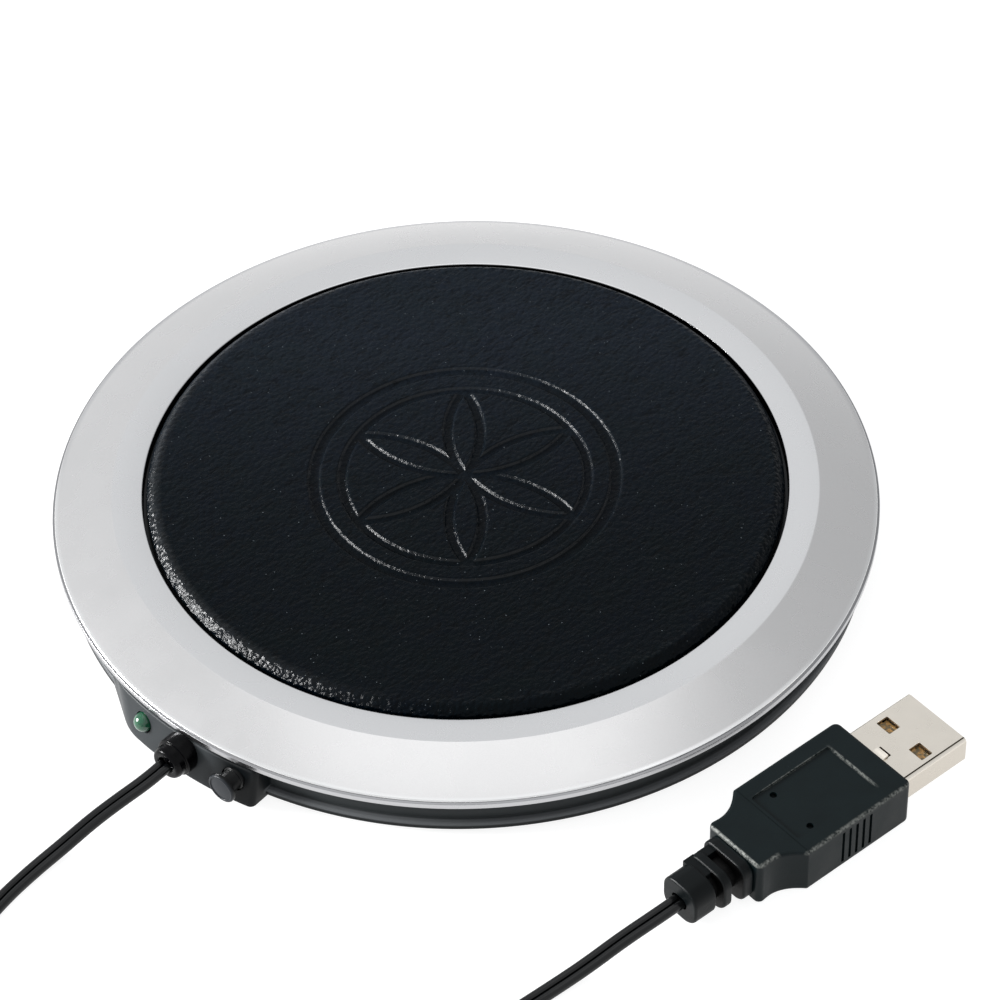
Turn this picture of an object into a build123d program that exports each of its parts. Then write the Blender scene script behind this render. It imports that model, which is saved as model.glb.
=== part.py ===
from build123d import *
import os
from math import atan2, cos, degrees, hypot, pi, radians, sin, sqrt, tan

# USB mug warmer: a silver ring round a leather-covered hot plate, on a low black base with a
# pod that holds a pilot lamp, the cord grommet and a push button. Millimetres, +Z up. The
# origin is on the disc's axis, on the table. The pod faces -Y.

# ---------------------------------------------------------------- driving dimensions: heights
foot_lift = 1.0  # the base's underside stands this far off the table
floor_thickness = 1.4
board_rib_height = 0.2
board_rib_width = 1.0
board_thickness = 0.8
axis_above_board = 1.5  # lamp, grommet and button share one height
pod_roof_clearance = 0.1  # over the button's collar
pod_roof_thickness = 0.55
lip_gap = 0.1  # between the pod's roof and the ring's lip
lip_height = 1.2
seat_rise = 0.7  # the ring sits on the base's wall this far above the lip's lower edge
crest_rise = 2.76  # crest of the ring above the top of its lip
inner_edge_drop = 0.25  # the inner band falls a little towards the pad
inner_wall_depth = 1.6  # down to the ledge that carries the hot plate
ledge_thickness = 1.8
backing_thickness = 1.2
plate_thickness = 1.6
leather_thickness = 1.1
film_thickness = 0.2
track_thickness = 0.1

# ---------------------------------------------------------------- driving dimensions: radii
ring_outer_radius = 62.0
outer_band_width = 9.1
inner_band_width = 4.6
ledge_width = 3.1
ring_inner_wall = 1.6
ring_skin = 1.6
lip_wall = 1.2
lip_rounding = 0.35
lip_face_height = 0.85
lip_lean = 0.15  # the lip's face leans in a little
lip_groove_depth = 0.3
lip_groove_height = 0.2
lip_to_base_gap = 1.4
base_wall = 1.8
base_step_out = 0.8  # the lower part of the base stands out
base_step_height = 2.4
base_edge_chamfer = 0.5
spigot_wall = 1.1
spigot_clearance = 0.1
pad_gap = 0.55  # between the leather and the ring's inner wall
leather_wrap = 0.95  # leather down the side of the plate
leather_rounding = 1.5
snug_clearance = 0.05
film_inset = 0.3
backing_margin = 0.3
foot_ring_inset = 14.2  # from the base's edge
foot_ring_width = 6.0
foot_groove_depth = 0.5

# ---------------------------------------------------------------- driving dimensions: screws
case_screw_radius = 1.1
case_screw_head_radius = 2.0
case_screw_head_height = 1.1
case_screw_pocket_depth = 1.6
case_screw_pocket_clearance = 0.2
case_screw_clearance = 0.15
case_screw_bite = 4.0
base_boss_radius = 3.2
base_boss_height = 2.0
ring_boss_radius = 2.8
plate_screw_radius = 0.95
plate_screw_head_radius = 1.8
plate_screw_head_height = 1.2
plate_screw_bite = 2.2
plate_boss_radius = 2.3
plate_ear_radius = 2.9
thread_clearance = 0.02
cross_slot_depth = 0.5
cross_slot_width = 0.5

# ---------------------------------------------------------------- driving dimensions: pod
pod_reach = 1.6  # beyond the ring's edge
pod_lean = 1.4  # the front leans back this much at its top, to just under the ring's lip
pod_half_width = 12.8
pod_face_left = 11.0  # where the front ends and the left flank begins
pod_flank_end = 18.6  # where the flank runs into the base
pod_flank_rounding = 5.0
pod_front_wall = 1.3  # at the top of the leaning front
pod_side_wall = 1.6
pod_corner_radius = 1.6
pod_hole_overrun = 1.5  # how far the holes' cuts run past the wall
lamp_x = -8.1
button_x = 9.2
lamp_radius = 1.5
lamp_length = 5.4
lamp_collar_radius = 1.85
lamp_collar_length = 1.0
lamp_stand_out = 0.5
lamp_hole_clearance = 0.15
lead_radius = 0.25
lead_spacing = 2.54
button_cap_radius = 2.35
button_cap_length = 0.85
button_neck_radius = 1.6
button_neck_length = 1.9
button_collar_radius = 1.85
button_collar_length = 1.9
button_stem_radius = 1.5
button_stem_length = 3.9
button_running_clearance = 0.08
button_travel = 0.65
button_pressed_gap = 0.06
button_edge_chamfer = 0.2

# ---------------------------------------------------------------- driving dimensions: switch
board_half_width = 13.5
board_depth = 11.0
board_margin = 0.5
switch_width = 7.0
switch_depth = 7.0
switch_height = 3.0
switch_wall = 0.7
cavity_half_height = 0.85
cavity_half_width = 1.8
plunger_radius = 0.75
plunger_running_clearance = 0.05
plunger_head_length = 1.6
plunger_grip = 3.5  # length of plunger inside the button's bore
spring_radius = 0.6
spring_wire_radius = 0.12
spring_turns = 5
spring_clearance = 0.03
pin_spacing_x = 4.0
pin_spacing_y = 4.0
pin_hole_clearance = 0.1
pin_tip_clearance = 0.05
resistor_radius = 0.9
resistor_length = 3.6
resistor_lead_span = 7.0
resistor_x = -2.6
resistor_lift = 0.2
wire_radius = 0.45
supply_wire_x = 0.75
heater_wire_x = 1.5
wire_bend_radius = 0.9
wire_slot_clearance = 0.8

# ---------------------------------------------------------------- driving dimensions: heater
track_width = 2.2
track_rings = 8
track_margin = 2.9  # from the outermost ring to the film's edge
track_inner_radius = 9.0
track_gap_half_width = 5.0

# ---------------------------------------------------------------- driving dimensions: grommet
grommet_flange_radius = 3.0
grommet_flange_thickness = 0.9  # at its lower edge, since the pod's front leans back
grommet_lip_gap = 0.2  # behind the flange's top
grommet_barrel_radius = 2.6
grommet_barrel_length = 1.75
grommet_rounding = 0.7
grommet_groove_radius = 1.7
grommet_back_half_width = 2.8
grommet_back_half_height = 1.75
grommet_back_thickness = 1.2
grommet_tail_radius = 1.5
grommet_tail_length = 0.9

# ---------------------------------------------------------------- driving dimensions: cord
cord_diameter = 2.4  # across the two cores, which lie side by side
coil_centre = (30.0, -130.5)
coil_mid_radius = 14.0
coil_columns = 3
coil_layers = 4
coil_column_pitch = 2.7
coil_layer_pitch = 1.6  # the flat cord stacks closer than its width
coil_lift = 0.55
coil_rounding = 0.7
coil_entry_angle = 210.0
coil_exit_angle = -15.7
coil_tie_thickness = 0.45
coil_tie_angle = 24.0
coil_tie_at = 80.0
least_bend_radius = 3 * cord_diameter

# ---------------------------------------------------------------- driving dimensions: plug
plug_tip = (80.26, 9.44)
plug_heading = 80.0
shell_width = 12.0
shell_height = 4.5
shell_wall = 0.35
shell_corner_radius = 0.5
shell_bare_length = 12.6
shell_hidden_length = 6.2
window_length = 1.9
window_width = 2.6
window_from_tip = 6.55
window_offset = 3.3
dimple_from_tip = 10.9
dimple_length = 1.5
dimple_width = 1.8
tongue_thickness = 1.9
tongue_recess = 0.6
tongue_side_gap = 0.2
contact_thickness = 0.2
contact_width = 1.0
contact_offsets = (-3.5, -1.0, 1.0, 3.5)
outer_contact_length = 7.4
inner_contact_length = 6.4
overmold_width = 15.5
overmold_height = 7.9
overmold_length = 19.8
overmold_edge_radius = 0.9
overmold_corner_radius = 1.0
panel_start = 4.2  # behind the overmold's front
panel_length = 14.9
panel_width = 9.8
panel_depth = 0.2
grip_start = 7.6  # behind the overmold's front
grip_count = 5
grip_pitch = 1.3
grip_width = 0.5
grip_depth = 0.35
neck_length = 7.0
neck_width = 9.9
neck_bulge = 0.56  # how far in the neck's concave side reaches at its middle, as a share
relief_core_radius = 2.2
relief_segments = (2.1, 1.6, 3.9)  # collar, middle rib, end barrel
relief_half_widths = (4.25, 3.8, 3.4)
relief_half_heights = (3.5, 3.4, 3.3)
relief_corner_radius = 1.9
relief_slot = 1.2
relief_chamfer = 0.4
relief_bridge_width = 3.0
relief_bridge_depth = 1.2
relief_bridges = ((-1,), (-1, 1))  # below the first slot, below and above the second

# ---------------------------------------------------------------- heights worked out
floor_top = foot_lift + floor_thickness
board_bottom = floor_top + board_rib_height
board_top = board_bottom + board_thickness
axis_height = board_top + axis_above_board
pod_roof_bottom = axis_height + button_collar_radius + pod_roof_clearance
pod_top = pod_roof_bottom + pod_roof_thickness
lip_bottom = pod_top + lip_gap
lip_top = lip_bottom + lip_height
seat_height = lip_bottom + seat_rise
crest_height = lip_top + crest_rise
inner_edge_height = crest_height - inner_edge_drop
ledge_top = inner_edge_height - inner_wall_depth
ledge_bottom = ledge_top - ledge_thickness
backing_bottom = ledge_bottom - backing_thickness
plate_top = ledge_top + plate_thickness
leather_top = plate_top + leather_thickness
film_bottom = ledge_top - film_thickness
track_bottom = film_bottom - track_thickness

# ---------------------------------------------------------------- radii worked out
crest_radius = ring_outer_radius - outer_band_width
opening_radius = crest_radius - inner_band_width
ledge_radius = opening_radius - ledge_width
base_radius = ring_outer_radius - lip_wall - lip_to_base_gap
base_inner_radius = base_radius - base_wall
base_foot_radius = base_radius + base_step_out
foot_ring_outer_radius = base_foot_radius - foot_ring_inset
foot_ring_inner_radius = foot_ring_outer_radius - foot_ring_width
spigot_outer_radius = base_inner_radius - spigot_clearance
spigot_inner_radius = spigot_outer_radius - spigot_wall
ring_inner_wall_radius = opening_radius + ring_inner_wall
boss_circle = (ring_inner_wall_radius + spigot_inner_radius) / 2
leather_radius = opening_radius - pad_gap
plate_radius = leather_radius - leather_wrap
film_radius = ledge_radius - film_inset
track_outer_radius = film_radius - track_margin
track_pitch = (track_outer_radius - track_width - track_inner_radius) / (track_rings - 1)
backing_radius = opening_radius - backing_margin
pod_radius = ring_outer_radius + pod_reach
pod_top_radius = pod_radius - pod_lean
pod_inner_radius = pod_top_radius - pod_front_wall
case_screw_angles = (45, 135, 225, 315)
plate_screw_angles = (90, 210, 330)
band_slope = crest_rise / outer_band_width


def depth_at(radius, x):
    """The Y of a circle about the disc's axis, on the pod's side, at a sideways place x."""
    return -sqrt(radius**2 - x**2)


def turned(*points):
    """A solid of revolution about Z from a closed outline of (radius, height) points."""
    return revolve(Plane.XZ * make_face(Polyline(*points, close=True)), Axis.Z)


def disc(radius, low, high, x=0.0, y=0.0):
    """An upright cylinder between two heights."""
    return Pos(x, y, (low + high) / 2) * Cylinder(radius, high - low)


def block(x_low, x_high, y_low, y_high, z_low, z_high):
    """A box given by its limits."""
    size = Box(x_high - x_low, y_high - y_low, z_high - z_low)
    return Pos((x_low + x_high) / 2, (y_low + y_high) / 2, (z_low + z_high) / 2) * size


def bar(radius, y_low, y_high, x=0.0, z=0.0):
    """A cylinder along Y between two places."""
    return Pos(x, (y_low + y_high) / 2, z) * Rot(90, 0, 0) * Cylinder(radius, y_high - y_low)


def around(angle, radius):
    """The place at an angle and a radius about the disc's axis."""
    return radius * cos(radians(angle)), radius * sin(radians(angle))


def wire(points, radius):
    """A round wire along straight runs joined by bends."""
    path = FilletPolyline(*points, radius=wire_bend_radius)
    return sweep(Plane(origin=path @ 0, z_dir=path % 0) * Circle(radius), path=path)


def bend_radii(points):
    """The largest bend at each inner point that its two runs allow."""
    radii = []
    for before, here, after in zip(points, points[1:], points[2:]):
        arriving = Vector(*here) - Vector(*before)
        leaving = Vector(*after) - Vector(*here)
        half_turn = radians(arriving.get_angle(leaving)) / 2
        radii.append(0.45 * min(arriving.length, leaving.length) / tan(half_turn))
    return radii


def cord_tube(name, points):
    """A length of cord as straight runs joined by tangent arcs."""
    radii = bend_radii(points)
    path = FilletPolyline(*points, radius=radii)
    solid = sweep(Plane(origin=path @ 0, z_dir=path % 0) * Circle(cord_diameter / 2), path=path)
    section = pi * cord_diameter**2 / 4
    print(name, "radii", [round(r) for r in radii], "least allowed", least_bend_radius)
    print(name, "length", round(path.length, 1), "volume over section x length",
          round(solid.volume / (section * path.length), 4))
    return solid


def pod_form(margin=0.0):
    """The pod as a full solid: its front leans back and its left flank runs into the base."""
    front = pod_radius + snug_clearance
    left = (-pod_face_left, depth_at(front, pod_face_left))
    right = (pod_half_width, depth_at(front, pod_half_width))
    flank_end = (-pod_flank_end, depth_at(base_foot_radius, pod_flank_end))
    outline = make_face([
        ThreePointArc(left, (0, -front), right),
        Line(right, (pod_half_width, 0)),
        Line((pod_half_width, 0), (-pod_flank_end, 0)),
        Line((-pod_flank_end, 0), flank_end),
        Line(flank_end, left),
    ])
    for corner, radius in ((left, pod_flank_rounding), (right, pod_corner_radius)):
        nearest = outline.vertices().sort_by_distance((*corner, 0))[0]
        outline = fillet(nearest, radius)
    height = pod_top - foot_lift
    lean = Pos(0, 0, foot_lift + height / 2) * Cone(pod_radius + margin, pod_top_radius + margin, height)
    return lean & Pos(0, 0, foot_lift) * extrude(outline, height)


def save(name, *solids):
    """Writes one node, as one solid or as a group of separate solids."""
    shape = solids[0] if len(solids) == 1 else Compound(children=list(solids))
    export_step(shape, f"parts/{name}.step")


def make_base_shell():
    """The black tray: floor, wall, pod, screw bosses and the ribs that carry the board."""
    step_top = foot_lift + base_step_height
    shell = disc(base_foot_radius, foot_lift, step_top) + disc(base_radius, step_top, seat_height)
    shell = shell + pod_form()
    shell = shell - disc(base_inner_radius, floor_top, seat_height)
    room_half_width = pod_half_width - pod_side_wall
    room = disc(pod_inner_radius, floor_top, pod_roof_bottom) & block(
        -room_half_width, room_half_width, -pod_inner_radius, 0, floor_top, pod_roof_bottom
    )
    shell = shell - room
    lowest = shell.edges().filter_by(GeomType.CIRCLE).group_by(Axis.Z)[0]
    rim = [e for e in lowest if abs(e.radius - base_foot_radius) < 0.01]
    shell = chamfer(rim, base_edge_chamfer)
    foot_outer = foot_ring_outer_radius + snug_clearance
    foot_inner = foot_ring_inner_radius - snug_clearance
    groove_top = foot_lift + foot_groove_depth
    shell = shell - (disc(foot_outer, foot_lift, groove_top) - disc(foot_inner, foot_lift, groove_top))
    pocket_top = foot_lift + case_screw_pocket_depth
    for angle in case_screw_angles:
        x, y = around(angle, boss_circle)
        shell = shell + disc(base_boss_radius, floor_top, floor_top + base_boss_height, x, y)
        pocket_radius = case_screw_head_radius + case_screw_pocket_clearance
        shell = shell - disc(pocket_radius, foot_lift, pocket_top, x, y)
        hole_radius = case_screw_radius + case_screw_clearance
        shell = shell - disc(hole_radius, pocket_top, floor_top + base_boss_height, x, y)
    for x in (lamp_x, button_x):
        shell = shell + block(x - board_rib_width / 2, x + board_rib_width / 2,
                              board_front, board_back, floor_top, board_bottom)
    for x, radius in (
        (lamp_x, lamp_radius + lamp_hole_clearance),
        (button_x, button_collar_radius + button_running_clearance),
        (0, grommet_groove_radius + snug_clearance),
    ):
        shell = shell - bar(radius, -pod_radius - pod_hole_overrun,
                            -pod_inner_radius + pod_hole_overrun, x, axis_height)
    save("base_shell", shell)


def make_foot_ring():
    """The rubber ring in the base's groove, which the warmer stands on."""
    top = foot_lift + foot_groove_depth
    save("anti_slip_ring",
         disc(foot_ring_outer_radius, 0, top) - disc(foot_ring_inner_radius, 0, top))


def make_silver_ring():
    """The bezel: lip, sloping outer band, near-flat inner band, ledge, spigot and bosses."""
    seat_inner = spigot_outer_radius
    under_crest = crest_height - ring_skin
    under_spigot = crest_height - band_slope * (spigot_inner_radius - crest_radius) - ring_skin
    ring = turned(
        (ring_outer_radius, lip_bottom),
        (ring_outer_radius - lip_lean, lip_bottom + lip_face_height),
        (ring_outer_radius - lip_groove_depth, lip_bottom + lip_face_height),
        (ring_outer_radius - lip_groove_depth, lip_bottom + lip_face_height + lip_groove_height),
        (ring_outer_radius - lip_lean, lip_bottom + lip_face_height + lip_groove_height),
        (ring_outer_radius - lip_rounding, lip_top),
        (crest_radius, crest_height),
        (opening_radius, inner_edge_height),
        (opening_radius, ledge_top),
        (ledge_radius, ledge_top),
        (ledge_radius, ledge_bottom),
        (ring_inner_wall_radius, ledge_bottom),
        (ring_inner_wall_radius, under_crest),
        (crest_radius, under_crest),
        (spigot_inner_radius, under_spigot),
        (spigot_inner_radius, pod_roof_bottom),
        (seat_inner, pod_roof_bottom),
        (seat_inner, seat_height),
        (ring_outer_radius - lip_wall, seat_height),
        (ring_outer_radius - lip_wall, lip_bottom),
    )
    boss_bottom = floor_top + base_boss_height
    for angle in case_screw_angles:
        x, y = around(angle, boss_circle)
        ring = ring + disc(ring_boss_radius, boss_bottom, under_crest + ring_skin / 2, x, y)
        ring = ring - disc(case_screw_radius + thread_clearance, boss_bottom,
                           boss_bottom + case_screw_bite, x, y)
    for angle in plate_screw_angles:
        x, y = around(angle, boss_circle)
        ring = ring + disc(plate_boss_radius, ledge_bottom, under_crest + ring_skin / 2, x, y)
        ring = ring - disc(plate_screw_radius + thread_clearance, ledge_bottom,
                           ledge_bottom + plate_screw_bite, x, y)
    save("silver_ring", ring)


def make_hot_plate_stack():
    """From the top: leather cover, aluminium plate, heating film, track, felt, backing plate."""
    cover = disc(leather_radius, ledge_top, leather_top)
    cover = cover - disc(plate_radius + snug_clearance, ledge_top, plate_top)
    rim = cover.edges().group_by(Axis.Z)[-1]
    save("leather_cover", fillet(rim, leather_rounding))
    save("heater_plate", disc(plate_radius, ledge_top, plate_top))
    save("heater_film", disc(film_radius, film_bottom, ledge_top))

    slot_half_width = heater_wire_x + wire_radius + wire_slot_clearance
    slot_half_depth = wire_radius + wire_slot_clearance
    slot = (-slot_half_width, slot_half_width,
            heater_terminal_y - slot_half_depth, heater_terminal_y + slot_half_depth)
    save("insulation_felt", disc(film_radius, ledge_bottom, track_bottom)
         - block(*slot, ledge_bottom, track_bottom))

    backing = disc(backing_radius, backing_bottom, ledge_bottom)
    for angle in plate_screw_angles:
        x, y = around(angle, boss_circle)
        arm = block(0, boss_circle, -plate_ear_radius, plate_ear_radius, backing_bottom, ledge_bottom)
        backing = backing + Rot(0, 0, angle) * arm
        backing = backing + disc(plate_ear_radius, backing_bottom, ledge_bottom, x, y)
        backing = backing - disc(plate_screw_radius + case_screw_clearance,
                                 backing_bottom, ledge_bottom, x, y)
    save("backing_plate", backing - block(*slot, backing_bottom, ledge_bottom))


def make_heater_track():
    """A foil track of concentric rings, open at the terminals and linked in series."""
    track = None
    for ring in range(track_rings):
        inner = track_inner_radius + ring * track_pitch
        band = disc(inner + track_width, track_bottom, film_bottom) - disc(
            inner, track_bottom, film_bottom
        )
        track = band if track is None else track + band
    track = track - block(-track_gap_half_width, track_gap_half_width, -track_outer_radius, 0,
                          track_bottom, film_bottom)
    for ring in range(track_rings - 1):
        side = 1 if ring % 2 else -1
        inner = track_inner_radius + ring * track_pitch
        reach = inner + track_pitch + track_width
        link_x = side * (track_gap_half_width + track_width / 2)
        link = block(link_x - track_width / 2, link_x + track_width / 2,
                     depth_at(reach, link_x), depth_at(inner, link_x), track_bottom, film_bottom)
        track = track + link
    half = track_width / 2
    pad = block(heater_wire_x - half, track_gap_half_width + half,
                heater_terminal_y - half, heater_terminal_y + half, track_bottom, film_bottom)
    inner_end = depth_at(track_inner_radius + half, track_gap_half_width)
    strip = block(-heater_wire_x - half, -heater_wire_x + half,
                  heater_terminal_y - half, inner_end + half, track_bottom, film_bottom)
    bridge = block(-heater_wire_x - half, track_gap_half_width + half,
                   inner_end - half, inner_end + half, track_bottom, film_bottom)
    save("heater_track", track + pad + strip + bridge)


def screw(x, y, head_low, head_radius, head_height, shank_radius, shank_top):
    """A pan-head screw that points up, with a cross slot in its head."""
    body = disc(head_radius, head_low, head_low + head_height, x, y)
    body = body + disc(shank_radius, head_low + head_height, shank_top, x, y)
    reach = head_radius * 0.6
    half = cross_slot_width / 2
    top = head_low + cross_slot_depth
    body = body - block(x - reach, x + reach, y - half, y + half, head_low, top)
    return body - block(x - half, x + half, y - reach, y + reach, head_low, top)


def make_screws():
    """Four screws hold the base to the ring, three hold the backing plate up."""
    bearing = foot_lift + case_screw_pocket_depth
    tip = floor_top + base_boss_height + case_screw_bite - thread_clearance
    save("case_screws", *[
        screw(*around(angle, boss_circle), bearing - case_screw_head_height,
              case_screw_head_radius, case_screw_head_height, case_screw_radius, tip)
        for angle in case_screw_angles
    ])
    tip = ledge_bottom + plate_screw_bite - thread_clearance
    save("plate_screws", *[
        screw(*around(angle, boss_circle), backing_bottom - plate_screw_head_height,
              plate_screw_head_radius, plate_screw_head_height, plate_screw_radius, tip)
        for angle in plate_screw_angles
    ])


def make_board():
    """The circuit board, with a hole for each lead and pin."""
    board = block(-board_half_width, board_half_width, board_front, board_back,
                  board_bottom, board_top)
    for x, y in lamp_feet + resistor_feet + switch_feet:
        board = board - disc(lead_radius + pin_hole_clearance, board_bottom, board_top, x, y)
    save("circuit_board", board)


def make_lamp():
    """A pilot lamp that lies on its side in the pod's wall, and its two leads."""
    dome_centre = lamp_tip + lamp_radius
    back = lamp_tip + lamp_length
    lamp = bar(lamp_radius, dome_centre, back, lamp_x, axis_height)
    lamp = lamp + Pos(lamp_x, dome_centre, axis_height) * Sphere(lamp_radius)
    lamp = lamp + bar(lamp_collar_radius, back - lamp_collar_length, back, lamp_x, axis_height)
    save("led_lamp", lamp)
    leads = []
    for x, y in lamp_feet:
        leads.append(wire([(x, back, axis_height), (x, y, axis_height), (x, y, lead_tip)],
                          lead_radius))
    save("led_leads", *leads)


def make_resistor():
    """The lamp's dropping resistor, with its leads bent down into the board."""
    (left, y), (right, _) = resistor_feet
    height = board_top + resistor_lift + resistor_radius
    centre = (left + right) / 2
    leads = wire([(left, y, lead_tip), (left, y, height), (right, y, height),
                  (right, y, lead_tip)], lead_radius)
    body = Pos(centre, y, height) * Rot(0, 90, 0) * Cylinder(resistor_radius, resistor_length)
    save("led_resistor", leads + body)


def make_switch():
    """The push switch: housing, sprung plunger and pins."""
    half = switch_width / 2
    body = block(button_x - half, button_x + half, switch_front, switch_back,
                 board_top, board_top + switch_height)
    cavity = block(button_x - cavity_half_width, button_x + cavity_half_width,
                   cavity_front, cavity_back,
                   axis_height - cavity_half_height, axis_height + cavity_half_height)
    hole = bar(plunger_radius + plunger_running_clearance, switch_front, cavity_front,
               button_x, axis_height)
    save("switch_body", body - cavity - hole)

    slack = plunger_running_clearance
    head = block(button_x - cavity_half_width + slack, button_x + cavity_half_width - slack,
                 cavity_front + slack, cavity_front + slack + plunger_head_length,
                 axis_height - cavity_half_height + slack,
                 axis_height + cavity_half_height - slack)
    shaft = bar(plunger_radius, plunger_tip, cavity_front + slack, button_x, axis_height)
    save("switch_plunger", head + shaft)

    seat = cavity_front + slack + plunger_head_length + spring_clearance + spring_wire_radius
    length = cavity_back - spring_clearance - spring_wire_radius - seat
    coil = Helix(length / spring_turns, length, spring_radius)
    section = Plane(origin=coil @ 0, z_dir=coil % 0) * Circle(spring_wire_radius)
    spring = sweep(section, path=coil)
    save("switch_spring", Pos(button_x, seat, axis_height) * Rot(-90, 0, 0) * spring)
    save("switch_pins", *[disc(lead_radius, lead_tip, board_top, x, y) for x, y in switch_feet])


def make_button():
    """The power button: cap, neck, running collar and a bored stem on the plunger."""
    cap_back = button_face + button_cap_length
    neck_back = cap_back + button_neck_length
    collar_back = neck_back + button_collar_length
    button = bar(button_cap_radius, button_face, cap_back, button_x, axis_height)
    button = chamfer(button.edges().group_by(Axis.Y)[0], button_edge_chamfer)
    button = button + bar(button_neck_radius, cap_back, neck_back, button_x, axis_height)
    button = button + bar(button_collar_radius, neck_back, collar_back, button_x, axis_height)
    button = button + bar(button_stem_radius, collar_back, button_rear, button_x, axis_height)
    button = button - bar(plunger_radius + thread_clearance, plunger_tip - thread_clearance,
                          button_rear, button_x, axis_height)
    save("power_button", button)


def make_grommet():
    """The rubber grommet: flange and barrel outside, a groove in the wall, a block inside."""
    groove_back = depth_at(pod_inner_radius, grommet_back_half_width) + snug_clearance
    flange_front = grommet_face + grommet_barrel_length
    grommet = bar(grommet_barrel_radius, grommet_face, flange_front, 0, axis_height)
    grommet = fillet(grommet.edges().group_by(Axis.Y)[0], grommet_rounding)
    flange_back = -ring_outer_radius - grommet_lip_gap
    flange = bar(grommet_flange_radius, flange_front, flange_back, 0, axis_height)
    grommet = grommet + (flange - pod_form(snug_clearance))
    groove_front = flange_front + grommet_flange_thickness / 2
    grommet = grommet + bar(grommet_groove_radius, groove_front, groove_back, 0, axis_height)
    back = groove_back + grommet_back_thickness
    grommet = grommet + block(-grommet_back_half_width, grommet_back_half_width,
                              groove_back, back,
                              axis_height - grommet_back_half_height,
                              axis_height + grommet_back_half_height)
    grommet = grommet + bar(grommet_tail_radius, back, grommet_tail_end, 0, axis_height)
    save("cord_grommet", grommet)


def make_inner_wires():
    """Two supply wires to the board, and two wires from the board up to the heater."""
    save("supply_wires", *[
        wire([(x, grommet_tail_end, axis_height), (x, supply_pad_y, axis_height),
              (x, supply_pad_y, board_top)], wire_radius)
        for x in (-supply_wire_x, supply_wire_x)
    ])
    level = board_top + wire_radius + 2 * wire_bend_radius
    save("heater_wires", *[
        wire([(x, heater_pad_y, board_top), (x, heater_pad_y, level),
              (x, heater_terminal_y, level), (x, heater_terminal_y, track_bottom)], wire_radius)
        for x in (-heater_wire_x, heater_wire_x)
    ])


def make_cord():
    """The lead from the grommet, the put-away coil, its tie, and the tail to the plug."""
    save("cord_lead", cord_tube("cord_lead", lead_route))
    save("cord_tail", cord_tube("cord_tail", tail_route))
    half_width = coil_columns * coil_column_pitch / 2
    inner = coil_mid_radius - half_width
    outer = coil_mid_radius + half_width
    top = coil_lift + coil_layers * coil_layer_pitch
    coil = disc(outer, coil_lift, top) - disc(inner, coil_lift, top)
    coil = fillet(coil.edges().filter_by(GeomType.CIRCLE), coil_rounding)
    save("cord_coil", Pos(*coil_centre, 0) * coil)

    gap = snug_clearance
    thick = coil_tie_thickness
    hole = Pos(coil_mid_radius, (coil_lift + top) / 2) * Rectangle(
        2 * (half_width + gap), top - coil_lift + 2 * gap
    )
    rim = Pos(coil_mid_radius, (coil_lift + top) / 2) * Rectangle(
        2 * (half_width + gap + thick), top - coil_lift + 2 * (gap + thick)
    )
    band = revolve(Plane.XZ * (rim - hole), Axis.Z, coil_tie_angle)
    save("coil_tie", Pos(*coil_centre, 0) * Rot(0, 0, coil_tie_at - coil_tie_angle / 2) * band)


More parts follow.
